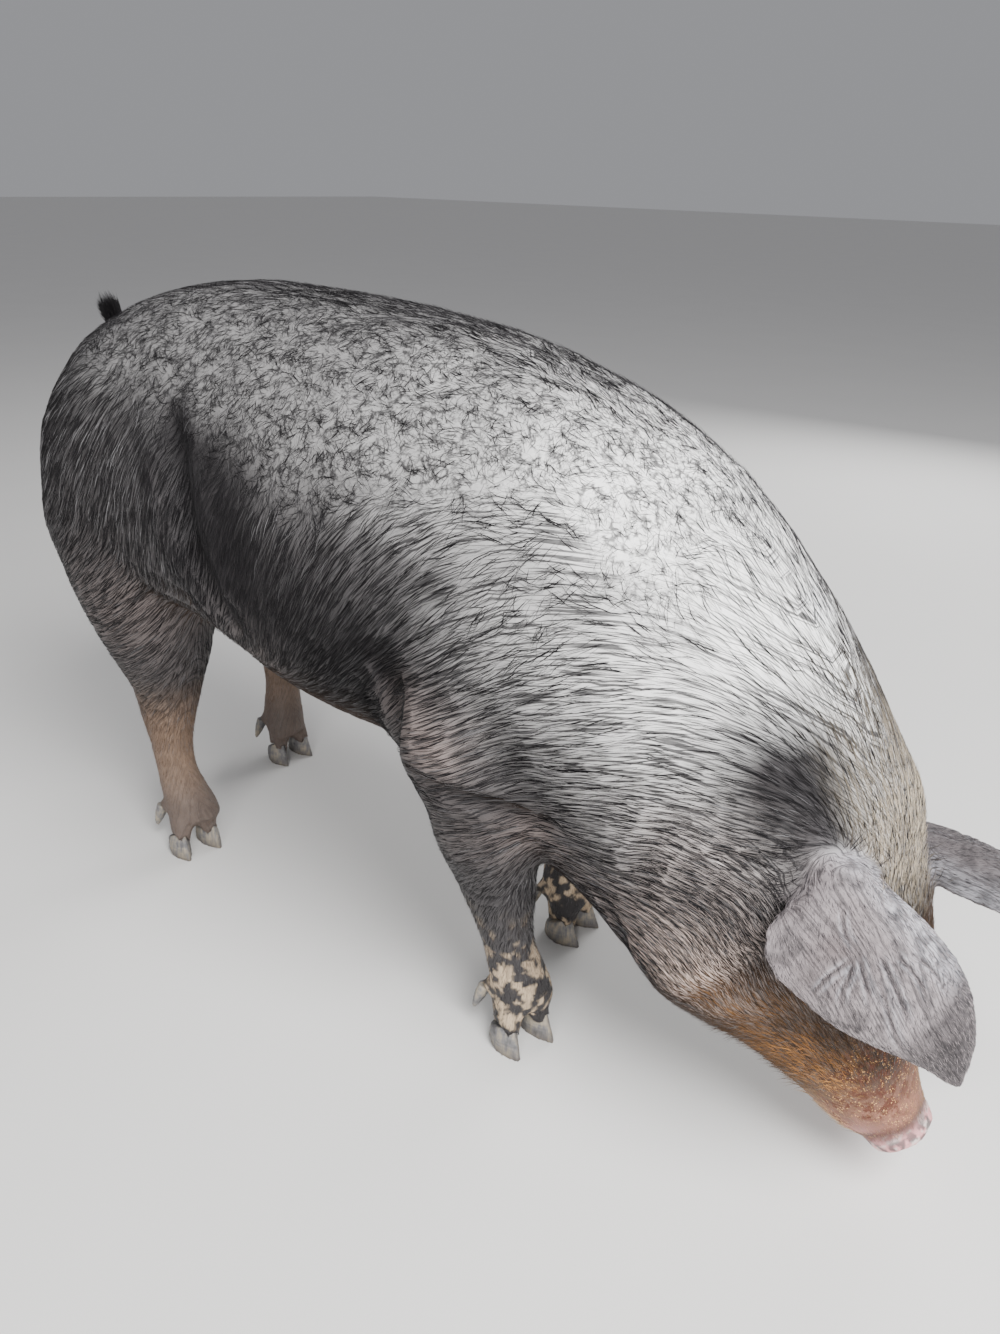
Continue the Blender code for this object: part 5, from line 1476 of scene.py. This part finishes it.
def make_eye(side):
    """A wet ball with a slight bulge in front, its iris and pupil facing out of the lids."""
    centre, radius, outward, _, _ = eye_frame(side)
    shape = bmesh.new()
    bmesh.ops.create_uvsphere(shape, u_segments=48, v_segments=32, radius=radius)
    turn = Vector(outward).to_track_quat("Z", "Y").to_matrix().to_4x4()
    bmesh.ops.transform(shape, matrix=Matrix.Translation(centre) @ turn, verts=shape.verts)
    name = EYES[side] + "_ball"
    eye = placed(name, mesh_from(shape, name))
    places = coordinates(eye) - centre
    angle = np.arccos(np.clip(unit(places) @ outward, -1.0, 1.0))
    bulge = np.exp(-(angle / 0.55) ** 4) * EYE_BULGE
    set_coordinates(eye, centre + places + unit(places) * (bulge - EYE_SINK)[:, None])
    store(eye, "reach", held(angle / 1.3))
    return eye


def make_hoof(node, horn):
    """A finer copy of a hoof or dewclaw, with the rings of its growth and a worn rim."""
    hoof = merged_copy((node,), node + "_horn")
    remeshed(hoof, HOOF_VOXEL)
    places = coordinates(hoof)
    sole = places[:, 2] < 0.0006
    relax(hoof, 6, np.where(sole, 0.0, 0.35))
    places, facing = coordinates(hoof), normals(hoof)
    wall = held(1.0 - np.abs(facing[:, 2])) * ~sole
    rings = np.sin(places[:, 2] * 1050.0 + noise(places, 40.0, 5) * 2.0) * HOOF_RINGS
    chips = noise(places, 160.0, 6) * HOOF_CHIPS
    sunk = (rings + chips) * wall + HOOF_DEPTH
    moved = places - facing * np.where(sole, 0.0, sunk)[:, None]
    moved[sole, 2] = 0.0
    set_coordinates(hoof, moved)
    shape = bmesh.new()
    shape.from_mesh(hoof.data)
    bmesh.ops.remove_doubles(shape, verts=shape.verts, dist=FLATTENED)
    bmesh.ops.dissolve_degenerate(shape, dist=FLATTENED, edges=shape.edges)
    shape.to_mesh(hoof.data)
    shape.free()
    wear(hoof, horn)
    return hoof


def make_lashes(tree):
    """Lashes along the upper rim of each eye."""
    rng = np.random.default_rng(SEED + 1)
    roots, aims, bends, lengths = [], [], [], []
    for side in SIDES:
        centre, _, outward, upper, lengthways = eye_frame(side)
        for share in np.linspace(-1.0, 1.0, LASHES):
            spot = (centre + outward * (0.0125 - 0.003 * share**2) + lengthways * 0.0125 * share
                    + upper * 0.0078 * math.sqrt(max(1.0 - 0.75 * share**2, 0.0)))
            aim = unit(outward * 0.9 + upper * 0.55 + lengthways * 0.45 * share
                       + rng.normal(0.0, 0.08, 3))
            length = LASH_LENGTH * rng.uniform(0.75, 1.15) * (1.0 - 0.35 * abs(share))
            roots.append(spot)
            aims.append(aim)
            lengths.append(length)
            bends.append(-upper * length * 0.35)
    count = len(roots)
    roots, aims = np.array(roots), np.array(aims)
    return bristled("eyelashes", tree, roots, aims[:, [1, 2, 0]], aims, np.array(lengths),
                    np.array(bends), np.full(count, 0.8), np.tile(GREY_HAIR, (count, 1)),
                    np.full((count, 2), 0.5))


def make_tail_tuft(tree):
    """Black bristles that fan from the end of the tail."""
    rng = np.random.default_rng(SEED + 2)
    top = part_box("tail_tuft")[1][2]
    line = np.array(TAIL_LINE) + ORIGIN
    end, along = line[-1], unit(line[-1] - line[-2])
    side = unit(np.cross(along, (0.0, 1.0, 0.0)))
    other = np.cross(along, side)
    count = TUFT_BRISTLES
    reach = (top - end[2]) * 0.92
    turn = rng.uniform(0.0, 2.0 * math.pi, count)
    spread = np.radians(TUFT_SPREAD) * np.sqrt(rng.uniform(0.0, 1.0, count))
    radial = np.cos(turn)[:, None] * side + np.sin(turn)[:, None] * other
    roots = (end + along * rng.uniform(-0.012, 0.006, count)[:, None]
             + radial * rng.uniform(0.003, 0.0085, count)[:, None])
    aims = unit(along * np.cos(spread)[:, None] + radial * np.sin(spread)[:, None])
    lengths = reach * (0.98 - 0.3 * (spread / np.radians(TUFT_SPREAD)) ** 2)
    lengths *= rng.uniform(0.85, 1.0, count)
    bends = (np.array((-0.004, 0.002, -0.006)) * rng.uniform(0.2, 1.6, count)[:, None]
             - radial * 0.007)
    return bristled("tail_bristles", tree, roots, radial, aims, lengths, bends,
                    np.full(count, 1.9), np.tile(BLACK_HAIR, (count, 1)), np.full((count, 2), 0.9))


def settle(piece, slot, *nodes):
    """The piece rides on the pig's one body and stands for some nodes."""
    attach(piece, "root")
    if nodes:
        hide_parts(*nodes)


def build_pig():
    skin = make_skin()
    places = coordinates(skin)
    labels = labelled(places)
    shares = kind_shares(skin, labels, BODY_BLEND // 2)
    tint, _, crust = markings(places, normals(skin), shares)
    kinds = by_kind(shares)
    way = lie_field(skin, shares)
    facing = normals(skin)
    trust = 0.05 + np.abs(facing[:, 1])
    across = np.cross(facing, way) * np.sign(facing[:, 1])[:, None]
    pig = places - ORIGIN
    haired = 1.0 - kinds.snout_disc - 0.35 * kinds.ear
    haired *= 1.0 - 0.75 * kinds.leg * wane(places[:, 2], 0.16, 0.34)
    haired *= 1.0 - 0.95 * ease(spine_place(pig)[0], 0.9, 0.96)
    haired *= 1.0 - 0.7 * marked(pig, "thin on jowl")
    for name, values in (
            ("tint", tint), ("crust", crust),
            ("across", flow_length(skin, across, trust, places[:, 2])),
            ("along", flow_length(skin, way, np.ones(len(places)), -places[:, 0])),
            ("felt", felted(pig, kinds)), ("haired", held(haired))):
        store(skin, name, values)
    wear(skin, hide_material())
    settle(skin, "hide", *FLESH)
    coat, tree = make_coat(skin, labels, shares, way)
    for piece in coat:
        settle(piece, "bristle")
    tuft = make_tail_tuft(tree)
    settle(tuft, "bristle", "tail_tuft")
    lashes = make_lashes(tree)
    settle(lashes, "bristle")
    glossy = eye_material()
    for side in SIDES:
        eye = make_eye(side)
        wear(eye, glossy)
        settle(eye, "eye", EYES[side])
    horn = hoof_material()
    for leg in LEGS:
        for part in ("hoof_outer", "hoof_inner", "dewclaw_outer", "dewclaw_inner"):
            node = leg + "_" + part
            settle(make_hoof(node, horn), "hoof", node)


def area_light(name, place, aim, size, power):
    light = bpy.data.lights.new(name, "AREA")
    light.shape, light.size, light.energy = "DISK", size, power
    made = placed(name, light)
    made.location = place
    made.rotation_euler = (Vector(aim) - Vector(place)).to_track_quat("-Z", "Y").to_euler()


def build_studio():
    bpy.ops.mesh.primitive_plane_add(size=FLOOR_SIZE, location=(0.0, 0.0, -FLOOR_DROP))
    floor = bpy.context.active_object
    floor.name = "studio_floor"
    floor.data.materials.append(floor_material())
    world = bpy.data.worlds.new("soft_studio")
    world.use_nodes = True
    sky = world.node_tree.nodes["Background"].inputs
    sky["Color"].default_value, sky["Strength"].default_value = SKY_COLOUR, SKY_STRENGTH
    bpy.context.scene.world = world
    for lamp in LAMPS:
        area_light(*lamp)

    camera = bpy.data.cameras.new("photo_camera")
    camera.lens = CAMERA_LENS
    camera.sensor_width = CAMERA_SENSOR
    camera.sensor_fit = "AUTO"
    holder = placed("photo_camera", camera)
    right, up = Vector(CAMERA_RIGHT), Vector(CAMERA_UP)
    back = right.cross(up)
    turn = Matrix((right, up, back)).transposed().to_4x4()
    holder.matrix_world = Matrix.Translation(Vector(CAMERA_PLACE) + Vector(ORIGIN)) @ turn
    bpy.context.scene.camera = holder


build_pig()
build_studio()
bpy.context.view_layer.update()
